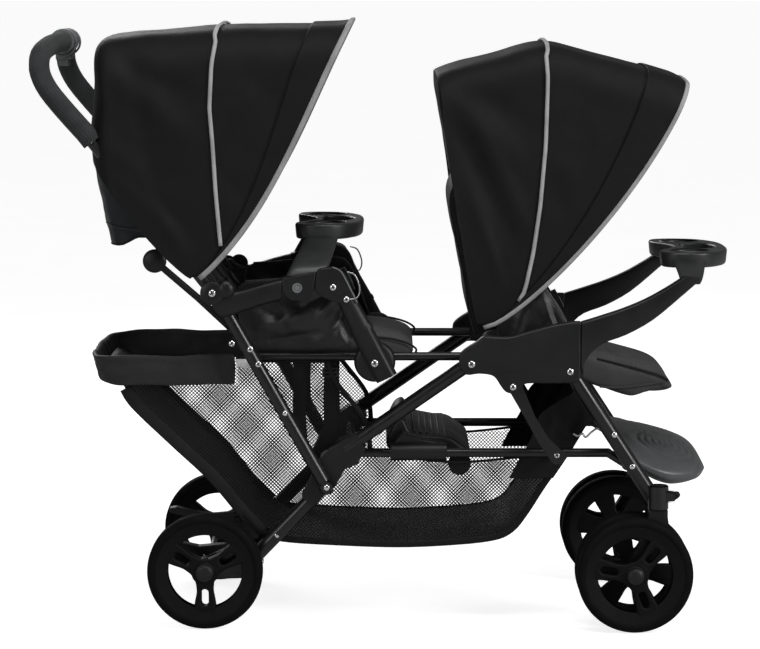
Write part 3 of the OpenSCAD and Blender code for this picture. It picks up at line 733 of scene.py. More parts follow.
def net(name, poly, side):
    """Sheet of net: one diamond hole at every second point of a lattice."""
    (x0, z0), (x1, z1) = np.min(poly, axis=0), np.max(poly, axis=0)
    cols, rows = int((x1 - x0) / NET_STEP) + 1, int((z1 - z0) / NET_STEP) + 1
    verts, faces, index = [], [], {}

    def place(i, j):
        return x0 + i * NET_STEP, z0 + j * NET_STEP

    def corner(i, j):
        if (i, j) not in index:
            x, z = place(i, j)
            index[(i, j)] = len(verts)
            verts.append((x, side * basket_width(z), z))
        return index[(i, j)]

    for i in range(1, cols):
        for j in range(1, rows):
            if (i + j) % 2:
                continue
            ring = [(i + 1, j), (i, j + 1), (i - 1, j), (i, j - 1)]
            if not all(inside(poly, *place(*at)) for at in ring):
                continue
            outer = [corner(*at) for at in ring]
            centre = np.mean([verts[k] for k in outer], axis=0)
            inner = []
            for k in outer:
                inner.append(len(verts))
                verts.append(tuple(centre + (np.array(verts[k]) - centre) * NET_HOLE))
            for k in range(4):
                faces.append((outer[k], outer[(k + 1) % 4], inner[(k + 1) % 4], inner[k]))
    piece(name, verts, faces, LOOK["net"], "chassis", smooth=False)


def basket_sheet():
    """Back, floor and front of the basket as one sagging sheet."""
    cols = 33
    line = resample(spline(BASKET_PROFILE, 6), 90)
    t = tangents(line)
    out = np.stack([t[:, 1], 0 * t[:, 0], -t[:, 0]], 1)
    outer = np.zeros((len(line), cols, 3))
    for i, (x, z) in enumerate(line):
        half = basket_width(z)
        along = math.sin(math.pi * i / (len(line) - 1))
        for k in range(cols):
            f = 2 * k / (cols - 1) - 1
            p = np.array([x, half * f, z])
            lumps = 2.2 * wobble(p, 60, 2.0) + 1.2 * wobble(p, 25, 4.0)
            sag = 5 * (1 - f * f) * along
            outer[i, k] = p + out[i] * (lumps * (1 - f ** 6) + sag)
    cloth = 2.2
    v, f = closed_sheet(outer, outer - out[:, None] * cloth)
    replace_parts(piece("basket_sheet", v, f, LOOK["cloth_soft"], "chassis"), "basket")


def basket_collar():
    """Folded cloth rim around the rear of the basket, gathered by elastic at the back."""
    half = [(-262, -196), (-330, -201), (-400, -205), (-455, -204), (-490, -190), (-508, -160),
            (-514, -100), (-515, -40)]
    path = resample(spline(mirrored(half), 8), 150)
    along = np.linspace(0, 1, len(path))
    t = tangents(path)
    round_points = 24
    rings = []
    for i, (x, y) in enumerate(path):
        back = smoothstep(0.22, 0.42, 0.5 - abs(along[i] - 0.5))
        top = 480 - 4 * back + 1.5 * math.sin(40 * along[i]) + 3.5 * wobble((x, y, 40), 55, 9)
        low = 427 + 13 * back + 2.5 * wobble((x, y, 80), 45, 11)
        gather = back * 3.0 * math.sin(2 * math.pi * 34 * along[i]) + 2.6 * wobble((x, y, 0), 30, 5)
        out = np.array([t[i][1], -t[i][0]])
        if np.dot(out, [x + 300, y]) < 0:
            out = -out
        ring = []
        for k in range(round_points):
            a = 2 * math.pi * k / round_points
            h = (math.cos(a) + 1) / 2
            wide = 3.5 + 6.5 * smoothstep(0.72, 1.0, h) + 1.6 * wobble((x, y, 90 * h), 24, 13)
            shift = 4 * back * h + gather * math.sin(math.pi * h) ** 0.7 - 12 * (1 - h) * back
            px, py = np.array([x, y]) + out * (wide * math.sin(a) + shift)
            ring.append((px, py, low + (top - low) * h))
        rings.append(np.array(ring))
    obj = piece("basket_collar", *loft(rings), LOOK["collar"], "chassis")
    subdivided(obj)


# tapes on the basket's sides: name, line, width, thickness, look and how far it stands off the net
BASKET_TAPES = [
    ("slope_band", [(-456, 420), (-436, 390), (-368, 324), (-303, 262), (-252, 200), (-214, 160)],
     22, 2.4, "binding", 1.5),
    ("hem", [(-250, 197), (-218, 162), (-180, 150), (-96, 144), (20, 140), (120, 144), (190, 152), (222, 166),
             (246, 195), (280, 249), (318, 304)], 12, 3.4, "cloth_soft", 1.8),
    ("elastic", [(322, 308), (235, 297), (125, 288), (20, 300), (-26, 313)], 5, 3.0, "webbing", 1.0),
    ("front_strap", [(-26, 312), (-36, 364), (-88, 434), (-100, 470)], 9, 2.6, "webbing", 1.6),
    ("rail_hem", [(-100, 470), (-180, 471), (-262, 471)], 12, 3.4, "cloth_soft", 1.0),
]


def basket_sides():
    lower = [p for p in BASKET_PROFILE if p[1] < 450 and p[0] < 330]
    poly = spline(lower, 3).tolist() + NET_TOP
    for name, side in SIDES:
        net(f"basket_net_{name}", poly, side)
        for stem, line, width, thick, look, lift in BASKET_TAPES:
            pts = np.array([[x, side * (basket_width(z) + lift), z] for x, z in spline(line, 6)])
            shape = sweep(pts, oblong(width, thick), (0, side, 0))
            piece(f"basket_{stem}_{name}", *shape, LOOK[look], "chassis")


basket_sheet()
basket_collar()
basket_sides()


# ---- plates cut from outlines ----------------------------------------------

def cut_plate(loops, half, bevel, resolution=2):
    """Flat plate in the first two axes with rounded edges; loops after the first are holes."""
    data = bpy.data.curves.new("outline", "CURVE")
    data.dimensions = "2D"
    data.fill_mode = "BOTH"
    data.extrude = (half - bevel) * MM
    data.bevel_depth = bevel * MM
    data.bevel_resolution = resolution
    data.offset = -bevel * MM
    for loop in loops:
        line = data.splines.new("POLY")
        line.points.add(len(loop) - 1)
        for point, (u, v) in zip(line.points, loop):
            point.co = (u * MM, v * MM, 0, 1)
        line.use_cyclic_u = True
    obj = bpy.data.objects.new("outline", data)
    bpy.context.scene.collection.objects.link(obj)
    bpy.context.view_layer.update()
    mesh = bpy.data.meshes.new_from_object(obj.evaluated_get(bpy.context.evaluated_depsgraph_get()))
    verts = np.array([v.co for v in mesh.vertices], float).reshape(-1, 3) / MM
    faces = [tuple(p.vertices) for p in mesh.polygons]
    bpy.data.objects.remove(obj)
    bpy.data.curves.remove(data)
    bpy.data.meshes.remove(mesh)
    return verts, faces


def upright(shape, y):
    """Turns a flat plate upright into the side view, centred on the plane y."""
    verts, faces = shape
    return np.stack([verts[:, 0], y - verts[:, 2], verts[:, 1]], 1), faces


def disc_loop(r, cx=0.0, cy=0.0):
    return circle(r, 40) + [cx, cy]


def middle(node, y):
    """Centre of a CAD node in the side view, placed in the plane y."""
    lo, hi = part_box(node)
    return np.array([(lo.x + hi.x) / 2 / MM, y, (lo.z + hi.z) / 2 / MM])


def outboard(profile, side):
    """Lathe profile for one side of the stroller."""
    return [(r, side * y) for r, y in profile]


# ---- wheels ----------------------------------------------------------------

WHEEL_R = 101.4
REAR_TRACK, REAR_WIDTH = 224, 38
OUTER_Y, INNER_Y, FRONT_WIDTH = 262, 200, 29
SPOKE = [(4, 17), (22, 15.5), (36, 14.5), (52, 17.5), (66, 19), (76, 15), (81, 6)]
SLOT_START, SLOT_END, SLOT_HALF = 37, 55, 6.4


def turned(loop, degrees):
    a = math.radians(degrees)
    c, s = math.cos(a), math.sin(a)
    return [(x * c - y * s, x * s + y * c) for x, y in loop]


def slot_loop():
    pts = []
    for cx, a0 in ((SLOT_START, 90), (SLOT_END, -90)):
        for k in range(7):
            a = math.radians(a0 + 180 * k / 6)
            pts.append((cx + SLOT_HALF * math.cos(a), SLOT_HALF * math.sin(a)))
    return pts


def wheel(name, node, y, width, turn, spokes=3):
    """Detailed wheel standing for a CAD wheel; a wheel with three spokes has a slot in each."""
    w = width / 2
    centre = middle(node, y)
    tyre = mirrored([(84, -w + 4), (87, -w + 1), (92, -w), (97, -w + 1.5), (100.2, -w + 5), (WHEEL_R, -w + 9),
                     (WHEEL_R, -5.2), (99.2, -4.4), (99.2, -3.4), (WHEEL_R, -2.6)])
    rim = mirrored([(65, -w + 9), (66, -w + 7), (70, -w + 5.6), (80, -w + 3.6), (84, -w + 2.2),
                    (86.6, -w + 1.6), (86.8, -w + 4)])
    hub = mirrored([(5.4, -w + 1), (15, -w + 1), (17.5, -w + 3), (19, -w + 7)])
    spoke = spline(mirrored(SPOKE), 3, closed=True)
    web_half, rounding = w - 5.2, 3.2
    webs = []
    for k in range(spokes):
        angle = turn + 360 / spokes * k
        loops = [turned(spoke, angle)]
        if spokes == 3:
            loops.append(turned(slot_loop(), angle))
        webs.append(cut_plate(loops, web_half, rounding, 3))
    webs.append(cut_plate([disc_loop(24)], web_half, rounding, 3))
    web_v, web_f = upright(join(webs), 0)
    # the web grows thicker towards the hub
    r = np.hypot(web_v[:, 0], web_v[:, 2])
    web_v[:, 1] += np.sign(web_v[:, 1]) * np.clip((46 - r) / 30, 0, 1) * 2.2
    tyre_v, tyre_f = lathe(tyre, 0, 96)
    v, f = join([(tyre_v, tyre_f), lathe(rim, 0, 72), lathe(hub, 0, 40), (web_v, web_f)])
    face_mats = [0] * len(tyre_f) + [1] * (len(f) - len(tyre_f))
    solid(name, (v + centre, f), [LOOK["tyre"], LOOK["wheel"]], node, 40, node, face_mats)
    return centre


def hub_cap(name, centre, y, side, r, body):
    """Domed cap with a stepped rim over the end of an axle."""
    profile = [(0.01, 5.6), (r * 0.5, 5.2), (r * 0.78, 4.2), (r * 0.86, 3.2), (r * 0.9, 3.4), (r, 2.6),
               (r, 0), (0.01, 0)]
    at = np.array([centre[0], side * y, centre[2]])
    solid(name, lathe(outboard(profile, side), at, 32), LOOK["plastic_dark"], body, 40)


def wheels():
    for name, side in SIDES:
        centre = wheel(f"wheel_rear_{name}", f"rear_wheel_{name}", side * REAR_TRACK, REAR_WIDTH, 30)
        hub_cap(f"cap_rear_{name}", centre, 248.6, side, 15, "chassis")
        for place, y, spokes in (("outer", OUTER_Y, 3), ("inner", INNER_Y, 6)):
            node = f"front_wheel_{name}_{place}"
            centre = wheel(f"wheel_front_{name}_{place}", node, side * y, FRONT_WIDTH, 50, spokes)
        hub_cap(f"cap_front_{name}", centre, 281.2, side, 14, f"caster_{name}")


wheels()


# ---- side plates, arms and armrests ----------------------------------------

PLATE_Y, PLATE_HALF, PLATE_CROWN = 246, 10, 2.5
PLATE_LINE = [(128, 479), (131, 490), (142, 500), (160, 511), (172, 520), (190, 519), (216, 519), (245, 527),
              (290, 539), (338, 545), (340, 524), (340, 456), (334, 441), (323, 438), (285, 437), (247, 437),
              (238, 431), (232, 423), (222, 419), (210, 422), (201, 432), (192, 446), (182, 452), (162, 454),
              (142, 452), (131, 463)]
LUG_LINE = [(205, 437), (213, 424), (222, 419), (232, 424), (239, 436), (222, 441)]
ARM_TOP = [(340.3, 545), (354, 549), (376, 556), (412, 568), (450, 584), (486, 604), (517, 624)]
ARM_LOW = [(340.3, 458), (352, 484), (376, 506), (418, 522), (464, 548), (514, 590), (548, 620)]


def rounded_ring(top, low, y_in, y_out, crown, r, m=4):
    """Closed section between a top and a low side view point, with a crowned outer face."""
    height = np.linalg.norm(top - low)
    width = abs(y_out - y_in)
    d = (top - low) / height
    r = min(r, height * 0.3, width * 0.4)
    side = 1 if y_out > y_in else -1
    out = []
    for cy, ch, a0 in ((width - r, height - r, 0), (r, height - r, 90), (r, r, 180), (width - r, r, 270)):
        for k in range(m + 1):
            a = math.radians(a0 + 90 * k / m)
            across, up = cy + r * math.cos(a), ch + r * math.sin(a)
            bulge = crown * math.sin(math.pi * np.clip(up / height, 0, 1)) if across > width / 2 else 0
            x, z = low + d * up
            out.append((x, y_in + side * (across + bulge), z))
    return np.array(out[::side])


def arm_loft(name, tops, lows, y_in, y_out, crown, node, r=5.0):
    """Arm between a top and a low line, standing for a CAD node of the chassis."""
    rings = [rounded_ring(a, b, y_in, y_out, crown, r) for a, b in zip(spline(tops, 3), spline(lows, 3))]
    solid(name, loft(rings), LOOK["plastic"], "chassis", 50, node)


def side_plates():
    for name, side in SIDES:
        v, f = upright(cut_plate([spline(PLATE_LINE, 3, closed=True)], PLATE_HALF, 4.5, 3), side * PLATE_Y)
        outer = (v[:, 1] - side * PLATE_Y) * side > PLATE_HALF / 2
        mid = np.exp(-((v[:, 2] - 480) / 40) ** 2) * np.exp(-((v[:, 0] - 250) / 110) ** 2)
        v[:, 1] += side * outer * mid * PLATE_CROWN
        solid(f"side_plate_cover_{name}", (v, f), LOOK["plastic"], "chassis", 50, f"side_plate_{name}")
        node = f"front_arm_{name}"
        arm_loft(f"front_arm_cover_{name}", ARM_TOP, ARM_LOW, side * 237, side * 257.5, 2.0, node)
        lug = upright(cut_plate([spline(LUG_LINE, 4, closed=True)], 4, 1.5), side * 252)
        solid(f"link_lug_{name}", lug, LOOK["plastic_dark"], "chassis", 38)


BAR_TOP = [(-306, 607), (-290, 610), (-268, 598), (-240, 603), (-210, 612), (-178, 620)]
BAR_LOW = [(-298, 566), (-284, 552), (-264, 556), (-238, 565), (-210, 574), (-180, 582)]
SOCKET_LINE = [(-178, 621), (-178, 600), (-172, 589), (-162, 582), (-136, 581), (-127, 590), (-122, 612),
               (-119, 632), (-148, 627)]
CAP_LINE = [(-118, 633), (-108, 638), (-92, 639), (-78, 634), (-66, 620), (-58, 600), (-56, 586), (-66, 577),
            (-84, 578), (-108, 588), (-119, 596), (-121, 610)]
# round joints of an armrest: centre in the side view, profile and number of points round it
ARMREST_JOINTS = [
    ((-299, 595), [(0.01, 249), (18, 249), (20.5, 251), (21, 256), (20, 259.5), (16, 261.6), (9, 262),
                   (0.01, 262)], 48),
    ((-276, 601), [(0.01, 249), (15, 249), (17, 252), (16, 258), (11, 262.5), (5, 264), (0.01, 264.3)], 32),
    ((-18, 474), [(0.01, 231), (32, 231), (35.5, 233.5), (36.2, 238), (35, 243), (32.5, 246.5), (28, 248),
                  (0.01, 248)], 56),
]
STRUT_TOP, STRUT_MID, STRUT_LOW = np.array([-76, 600]), np.array([-40, 530]), np.array([4, 446])
# wires of an armrest: name, line, its y, radius and look
ARMREST_WIRES = [
    ("wire", [(-66, 632), (-52, 626), (-44, 604), (-48, 588), (-62, 584)], 258, 1.4, "wire"),
    ("trim", [(-92, 640), (-78, 634), (-68, 618), (-58, 598), (-48, 578)], 257.6, 1.3, "plastic_gray"),
]


def fork(side):
    """Lower half of the strut: an oval sleeve with three soft ridges."""
    d = STRUT_LOW - STRUT_MID
    t = d / np.linalg.norm(d)
    around = np.linspace(0, 2 * math.pi, 40, endpoint=False)
    ridge = 1.0 + 0.10 * np.maximum(0, np.cos(3 * around)) ** 2
    u, w = 18.5 * np.cos(around) * ridge, 11.5 * np.sin(around) * ridge
    rings = []
    for k in np.linspace(0, 1, 12):
        x, z = STRUT_MID + d * k
        rings.append(np.stack([x + t[1] * u, side * (247 + w), z - t[0] * u], 1))
    return loft(rings)


def armrests():
    for name, side in SIDES:
        arm_loft(f"armrest_bar_{name}", BAR_TOP, BAR_LOW, side * 233, side * 257, 2.5, f"armrest_{name}", 8)
        socket = upright(cut_plate([SOCKET_LINE], 14, 2.6, 3), side * 245.5)
        cap = upright(cut_plate([spline(CAP_LINE, 3, closed=True)], 13, 2.6, 3), side * 245)
        solid(f"armrest_socket_{name}", [socket, cap], LOOK["plastic"], "chassis", 50)
        joints = []
        for (x, z), profile, m in ARMREST_JOINTS:
            joints.append(lathe(outboard(profile, side), np.array([x, 0, z]), m))
        solid(f"armrest_joints_{name}", joints, LOOK["plastic_dark"], "chassis", 42)
        # strut: round sleeve above, ribbed fork below and a collar between
        path = flat(resample([STRUT_TOP, STRUT_MID], 8), side * 246)
        sleeve = sweep(path, circle(16.2, 24, 0.72), (0, side, 0), scale=np.linspace(0.94, 1.16, 8))
        short = STRUT_TOP - STRUT_MID
        path = flat([STRUT_MID + short * 0.06, STRUT_MID - short * 0.05], side * 246)
        collar = sweep(path, circle(20.2, 24, 0.66), (0, side, 0))
        solid(f"armrest_strut_{name}", [sleeve, fork(side), collar], LOOK["plastic_dark"], "chassis", 45)
        for stem, line, y, r, look in ARMREST_WIRES:
            shape = tube(flat(spline(line, 5), side * y), r, (0, side, 0), 8)
            piece(f"armrest_{stem}_{name}", *shape, LOOK[look], "chassis")


side_plates()
armrests()


# ---- child trays -----------------------------------------------------------

TRAY_HALF, TRAY_THICK = 156, 27
WELL_R, WELL_Y = 34.2, 100


def tray_outline(x0, x1):
    """Plan of a child tray: rounded front, ears at the sides and a hollow towards the child."""
    half, length = TRAY_HALF, x1 - x0
    hollow = [(x0 + 4, -half + 20), (x0 + 1, -half + 44), (x0 + 4, -half + 66), (x0 + 22, -52),
              (x0 + 33, -24)]
    front = [(x0 + 22, half - 3), (x0 + length * 0.42, half), (x0 + length * 0.7, half - 14),
             (x1 - 14, half - 52), (x1 - 3, 60)]
    line = hollow + [(x0 + 36, 0)] + mirrored(hollow)[5:] + front + [(x1, 0)] + mirrored(front)[5:]
    return spline(line, 4, closed=True)


def shrunk(loop, by):
    """The same outline, moved inwards by a distance."""
    t = np.roll(loop, -1, 0) - np.roll(loop, 1, 0)
    t /= np.linalg.norm(t, axis=1)[:, None]
    return loop + np.stack([-t[:, 1], t[:, 0]], 1) * by * np.sign(signed_area(loop))


def signed_area(p):
    return np.sum(p[:, 0] * np.roll(p[:, 1], -1) - np.roll(p[:, 0], -1) * p[:, 1])


def tray_foot(top, low, y_top, y_low, side):
    """Foot from the tray down to an arm, between two pairs of side view points."""
    steps = 8
    around = np.linspace(0, 2 * math.pi, 24, endpoint=False)
    u = 0.5 + 0.5 * np.sign(np.cos(around)) * abs(np.cos(around)) ** 0.5
    w = 0.5 - 0.5 * np.sign(np.sin(around)) * abs(np.sin(around)) ** 0.5
    top, low = np.array(top, float), np.array(low, float)
    rings = []
    for k in range(steps + 1):
        t = k / steps
        (xa, za), (xb, zb) = top + (low - top) * t
        y_out = y_top + (y_low - y_top) * smoothstep(0, 1, t) ** 0.6
        thick = 30 - 12 * t
        rings.append(np.stack([xa + (xb - xa) * u, side * (y_out - thick * w), za + (zb - za) * u], 1))
    return loft(rings)


def child_tray(body, x0, x1, top, well_x, foot_top, foot_low, foot_y):
    """Moulded tray with cup wells, a shallow middle dish, and a foot down to each arm."""
    outline = tray_outline(x0, x1)
    wells = [disc_loop(WELL_R, well_x, s * WELL_Y) for s in (-1, 1)]
    half_dish = [(x0 + 50, -46), (x0 + 62, -56), (x1 - 34, -50), (x1 - 20, -20)]
    dish = spline(half_dish + [(x1 - 18, 0)] + mirrored(half_dish)[4:] + [(x0 + 48, 0)], 4, closed=True)
    v, f = cut_plate([outline, dish] + wells, TRAY_THICK / 2, 4.0, 3)
    v[:, 2] += top - TRAY_THICK / 2
    # the skirt leans in towards the bottom
    centre = (x0 + x1) / 2
    lean = np.clip((top - 8 - v[:, 2]) / 24, 0, 1) * 0.045
    edge = np.hypot((v[:, 0] - centre) / (x1 - x0) * 2, v[:, 1] / TRAY_HALF) > 0.72
    v[:, 0] = np.where(edge, centre + (v[:, 0] - centre) * (1 - lean), v[:, 0])
    v[:, 1] = np.where(edge, v[:, 1] * (1 - lean * 0.6), v[:, 1])
    floor_v, floor_f = cut_plate([shrunk(outline, 5)], 1.6, 0.6, 1)
    floor_v[:, 2] += top - 24.2
    parts = [(v, f), (floor_v, floor_f)]
    lip = [(33.9, 0.2), (35.6, 1.1), (37.4, 0.9), (38.4, -0.6), (36, -2.5), (33.9, -2.5)]
    for s in (-1, 1):
        parts.append(lathe(lip, np.array([well_x, s * WELL_Y, top]), 48, axis="z"))
    solid(f"{body}_top", parts, LOOK["plastic_tray"], body, 44, body)
    for name, side in SIDES:
        foot = tray_foot(foot_top, foot_low, *foot_y, side)
        solid(f"{body}_foot_{name}", foot, LOOK["plastic_tray"], body, 50)


child_tray("rear_tray", -160, -38, 706, -104,
           foot_top=((-136, 690), (-80, 688)), foot_low=((-172, 624), (-102, 628)), foot_y=(140, 252))
child_tray("front_tray", 486, 615, 656, 542,
           foot_top=((506, 646), (566, 642)), foot_low=((512, 610), (545, 610)), foot_y=(150, 255.5))


def tray_buttons():
    """Round release buttons with a ringed face, in the armrest sockets."""
    face = [(0.01, 261.4), (4.0, 261.2), (4.8, 260.2), (6.2, 260.2), (7.0, 261.6), (8.2, 261.2), (8.8, 259.5),
            (8.8, 252), (0.01, 252)]
    for name, side in SIDES:
        node = f"tray_button_{name}"
        shape = lathe(outboard(face, side), middle(node, 0), 40)
        solid(f"tray_button_cap_{name}", shape, LOOK["plastic_gray"], node, 38, node)


tray_buttons()


# ---- cushions --------------------------------------------------------------

CLOTH_STEPS = 20


def blown_up(obj, start, held, swell):
    """Runs the cover as cloth under pressure, pinned along its seams, and limits how far it moves."""
    group = obj.vertex_groups.new(name="seams")
    for i, hold in enumerate(held):
        group.add([i], float(hold), "REPLACE")
    cloth = obj.modifiers.new("cloth", "CLOTH")
    cloth.settings.use_pressure = True
    cloth.settings.uniform_pressure_force = 4
    cloth.settings.effector_weights.gravity = 0
    cloth.settings.quality = 4
    cloth.settings.vertex_group_mass = "seams"
    cloth.settings.bending_stiffness = 0.4
    for at in range(1, CLOTH_STEPS + 1):
        bpy.context.scene.frame_set(at)
    applied(obj)
    bpy.context.scene.frame_set(1)
    step = np.array([p.co for p in obj.data.vertices], float) - start
    length = np.maximum(np.linalg.norm(step, axis=1), 1e-9)
    return start + step * np.minimum(1, swell * MM / length)[:, None]


def cushion(name, outline, half, seams, body, replaced, swell, split, crown=0.0):
    """Padded cushion: side view outline filled to a soft body, held down along its seams.

    seams(p): how strongly the cover is stitched at a point, 0 to 1; split(p): true where the cover is gray.
    """
    plate = cut_plate([spline(outline, 3, closed=True)], half, 5, 2)
    obj = piece(name, *upright(plate, 0), [LOOK["cloth_soft"], LOOK["cloth_gray"]])
    outward(obj)
    remesh = obj.modifiers.new("remesh", "REMESH")
    remesh.mode = "VOXEL"
    remesh.voxel_size = 0.0055
    remesh.use_smooth_shade = True
    applied(obj)
    if len(obj.data.materials) < 2:
        obj.data.materials.append(LOOK["cloth_gray"])
    start = np.array([p.co for p in obj.data.vertices], float)
    # the top falls away towards both sides
    low, high = start[:, 2].min(), start[:, 2].max()
    across = np.clip(np.abs(start[:, 1]) / (half * MM), 0, 1)
    start[:, 2] -= crown * MM * across ** 3 * smoothstep(low, low * 0.4 + high * 0.6, start[:, 2])
    obj.data.vertices.foreach_set("co", start.ravel())
    held = np.array([seams(p / MM) for p in start])
    moved = blown_up(obj, start, held, swell)
    obj.data.vertices.foreach_set("co", moved.ravel())
    obj.vertex_groups.clear()
    index = [int(split(np.array(p.center) / MM)) for p in obj.data.polygons]
    obj.data.polygons.foreach_set("material_index", index)
    obj.data.polygons.foreach_set("use_smooth", [True] * len(obj.data.polygons))
    subdivided(obj)
    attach(obj, body)
    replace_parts(obj, replaced)


def near(value, places, width):
    """1 at any of the places, falling to 0 at the given distance."""
    return max(0.0, 1 - min(abs(value - p) for p in places) / width)


def edge_cord(name, points, half, r, look):
    """Cord sewn round both sides of a seat cushion, following its side view edge."""
    line = resample(spline(points, 6), 60)
    shape = join([tube(flat(line, s * half), r, (0, 1, 0), 8) for s in (-1, 1)])
    piece(name, *shape, LOOK[look], "chassis")


REAR_SEAT_LINE = [(-232, 496), (-236, 508), (-190, 514), (-120, 515), (-60, 517), (-30, 517), (4, 513),
                  (34, 504), (46, 495), (50, 486), (42, 476), (20, 474), (-20, 482), (-120, 486), (-200, 487)]
FRONT_SEAT_LINE = [(188, 470), (186, 490), (230, 494), (330, 492), (374, 482), (407, 472), (468, 454),
                   (494, 442), (508, 430), (503, 421), (470, 414), (452, 407), (434, 402), (414, 410),
                   (396, 416), (370, 426), (330, 448), (240, 460)]
REAR_BACK_LINE = [(-250, 520), (-262, 524), (-300, 572), (-380, 674), (-440, 752), (-476, 806), (-484, 834),
                  (-470, 844), (-455, 806), (-400, 730), (-330, 638), (-264, 552), (-248, 534)]
FRONT_BACK_LINE = [(172, 522), (160, 510), (146, 552), (140, 596), (130, 650), (118, 704), (112, 748),
                   (120, 776), (136, 782), (150, 744), (168, 640), (180, 560)]
SEAT_RIBS = (-129, -86, -43, 0, 43, 86, 129)
SEAM_WIDTH, EDGE_WIDTH = 7, 9


def rear_seat():
    def seams(p):
        x, y, z = p
        rib = near(y, SEAT_RIBS, SEAM_WIDTH) if z > 500 or x > 30 else 0
        cross = near(x, (-176, -118, -60), SEAM_WIDTH) if z > 510 else 0
        edge = near(abs(y), (172,), EDGE_WIDTH) * 0.6
        under = 1.0 if z < 492 and x < 20 else 0
        angle = math.atan2(z - 500, x + 70)
        fan = near(angle, (-0.15, 0.12, 0.38, 0.62), 0.05) if abs(y) > 160 and x > -40 else 0
        return max(rib, cross, edge, under, fan)

    cushion("rear_seat_cushion", REAR_SEAT_LINE, 170, seams, "chassis", "rear_seat", 9,
            lambda p: p[0] > -42, 7)
    edge_cord("rear_seat_cord", [(-36, 509), (4, 507), (34, 500), (50, 492), (55, 485), (48, 474)], 171, 2.0,
              "binding")


def front_seat():
    def seams(p):
        x, y, z = p
        rib = near(y, SEAT_RIBS, SEAM_WIDTH) if z > 440 else 0
        cross = near(x, (240, 300, 360), SEAM_WIDTH) if z > 480 else 0
        edge = near(abs(y), (172,), EDGE_WIDTH) * 0.5
        under = 1.0 if z < 470 and x < 360 else 0
        angle = math.atan2(z - 452, x - 372)
        fan = near(angle, (-0.42, -0.12, 0.1, 0.32, 0.6), 0.06) if abs(y) > 158 and x > 380 else 0
        return max(rib, cross, edge, under, fan)

    cushion("front_seat_cushion", FRONT_SEAT_LINE, 168, seams, "chassis", "front_seat", 9,
            lambda p: p[0] > 350, 12)
    edge_cord("front_seat_cord", [(378, 421), (404, 419), (434, 421), (470, 426), (494, 430)], 172, 1.9,
              "thread")
    edge_cord("front_seat_top_cord", [(374, 470), (407, 462), (466, 446), (488, 438), (500, 431)], 166, 1.8,
              "binding")


def backs():
    def seams(p):
        x, y, z = p
        along = near(y, (-110, -55, 0, 55, 110), SEAM_WIDTH)
        across = near(z, (600, 660, 720, 780), SEAM_WIDTH)
        return max(along, across, near(abs(y), (160,), EDGE_WIDTH) * 0.6)

    cushion("rear_back_cushion", REAR_BACK_LINE, 160, seams, "rear_seat_back", "rear_seat_back", 7,
            lambda p: abs(p[1]) < 110 and p[0] * 1.26 + p[2] > 219)
    cushion("front_back_cushion", FRONT_BACK_LINE, 160, seams, "front_seat_back", "front_seat_back", 7,
            lambda p: abs(p[1]) < 110 and p[0] + 0.2 * p[2] > 272)


rear_seat()
front_seat()
backs()


# ---- hanging cloth ---------------------------------------------------------

WALL_Y = 178
WALL_TOP = [(-262, 590), (-246, 608), (-200, 611), (-160, 614), (-116, 620), (-84, 618), (-66, 604),
            (-52, 572), (-38, 534), (-26, 500)]
WALL_LOW = [(-250, 484), (-214, 481), (-182, 479), (-152, 477), (-124, 476), (-100, 476), (-78, 476),
            (-60, 476), (-44, 477), (-30, 478)]
WALL_FOLDS = [((-70, 600), (-120, 540), 9, 5), ((-60, 590), (-90, 520), 8, -5),
              ((-100, 590), (-150, 560), 9, -4), ((-130, 560), (-220, 520), 12, 4),
              ((-100, 520), (-210, 500), 9, -4), ((-60, 560), (-30, 510), 8, 4),
              ((-240, 580), (-180, 540), 12, -4), ((-200, 600), (-150, 520), 14, 3),
              ((-80, 545), (-60, 500), 7, -4)]


def hung_cloth(name, side, upper, lower, y, relief, mat, thick, rows, cols):
    """Cloth between two side view lines; relief(x, z, k) is how far it stands out, k up from 0 to 1."""
    top, low = resample(spline(upper, 6), cols), resample(spline(lower, 6), cols)
    grid = np.zeros((rows, cols, 3))
    for i in range(rows):
        k = i / (rows - 1)
        for c, (x, z) in enumerate(low * (1 - k) + top * k):
            grid[i, c] = (x, side * (y + relief(x, z, k)), z)
    soft(name, thick_sheet(grid, thick), mat, "chassis")


def seat_walls():
    """Cloth side walls of the rear seat with pulled folds and a dark edge line."""
    for name, side in SIDES:
        def relief(x, z, k):
            fade = math.sin(math.pi * min(k + 0.08, 1)) ** 0.5
            folds = 1.7 * sum(fold(x, z, *one) for one in WALL_FOLDS) * fade
            return 3.5 * math.sin(math.pi * k) + 1.2 * wobble((x, 0, z), 26, side) + folds

        hung_cloth(f"rear_seat_wall_{name}", side, WALL_TOP, WALL_LOW, WALL_Y, relief, LOOK["vinyl"], 2.6,
                   40, 90)
        edge = flat(resample(spline(WALL_TOP[1:], 6), 80), side * WALL_Y)
        piece(f"rear_seat_wall_edge_{name}", *tube(edge, 1.9, (0, 1, 0), 8), LOOK["piping_dark"], "chassis")


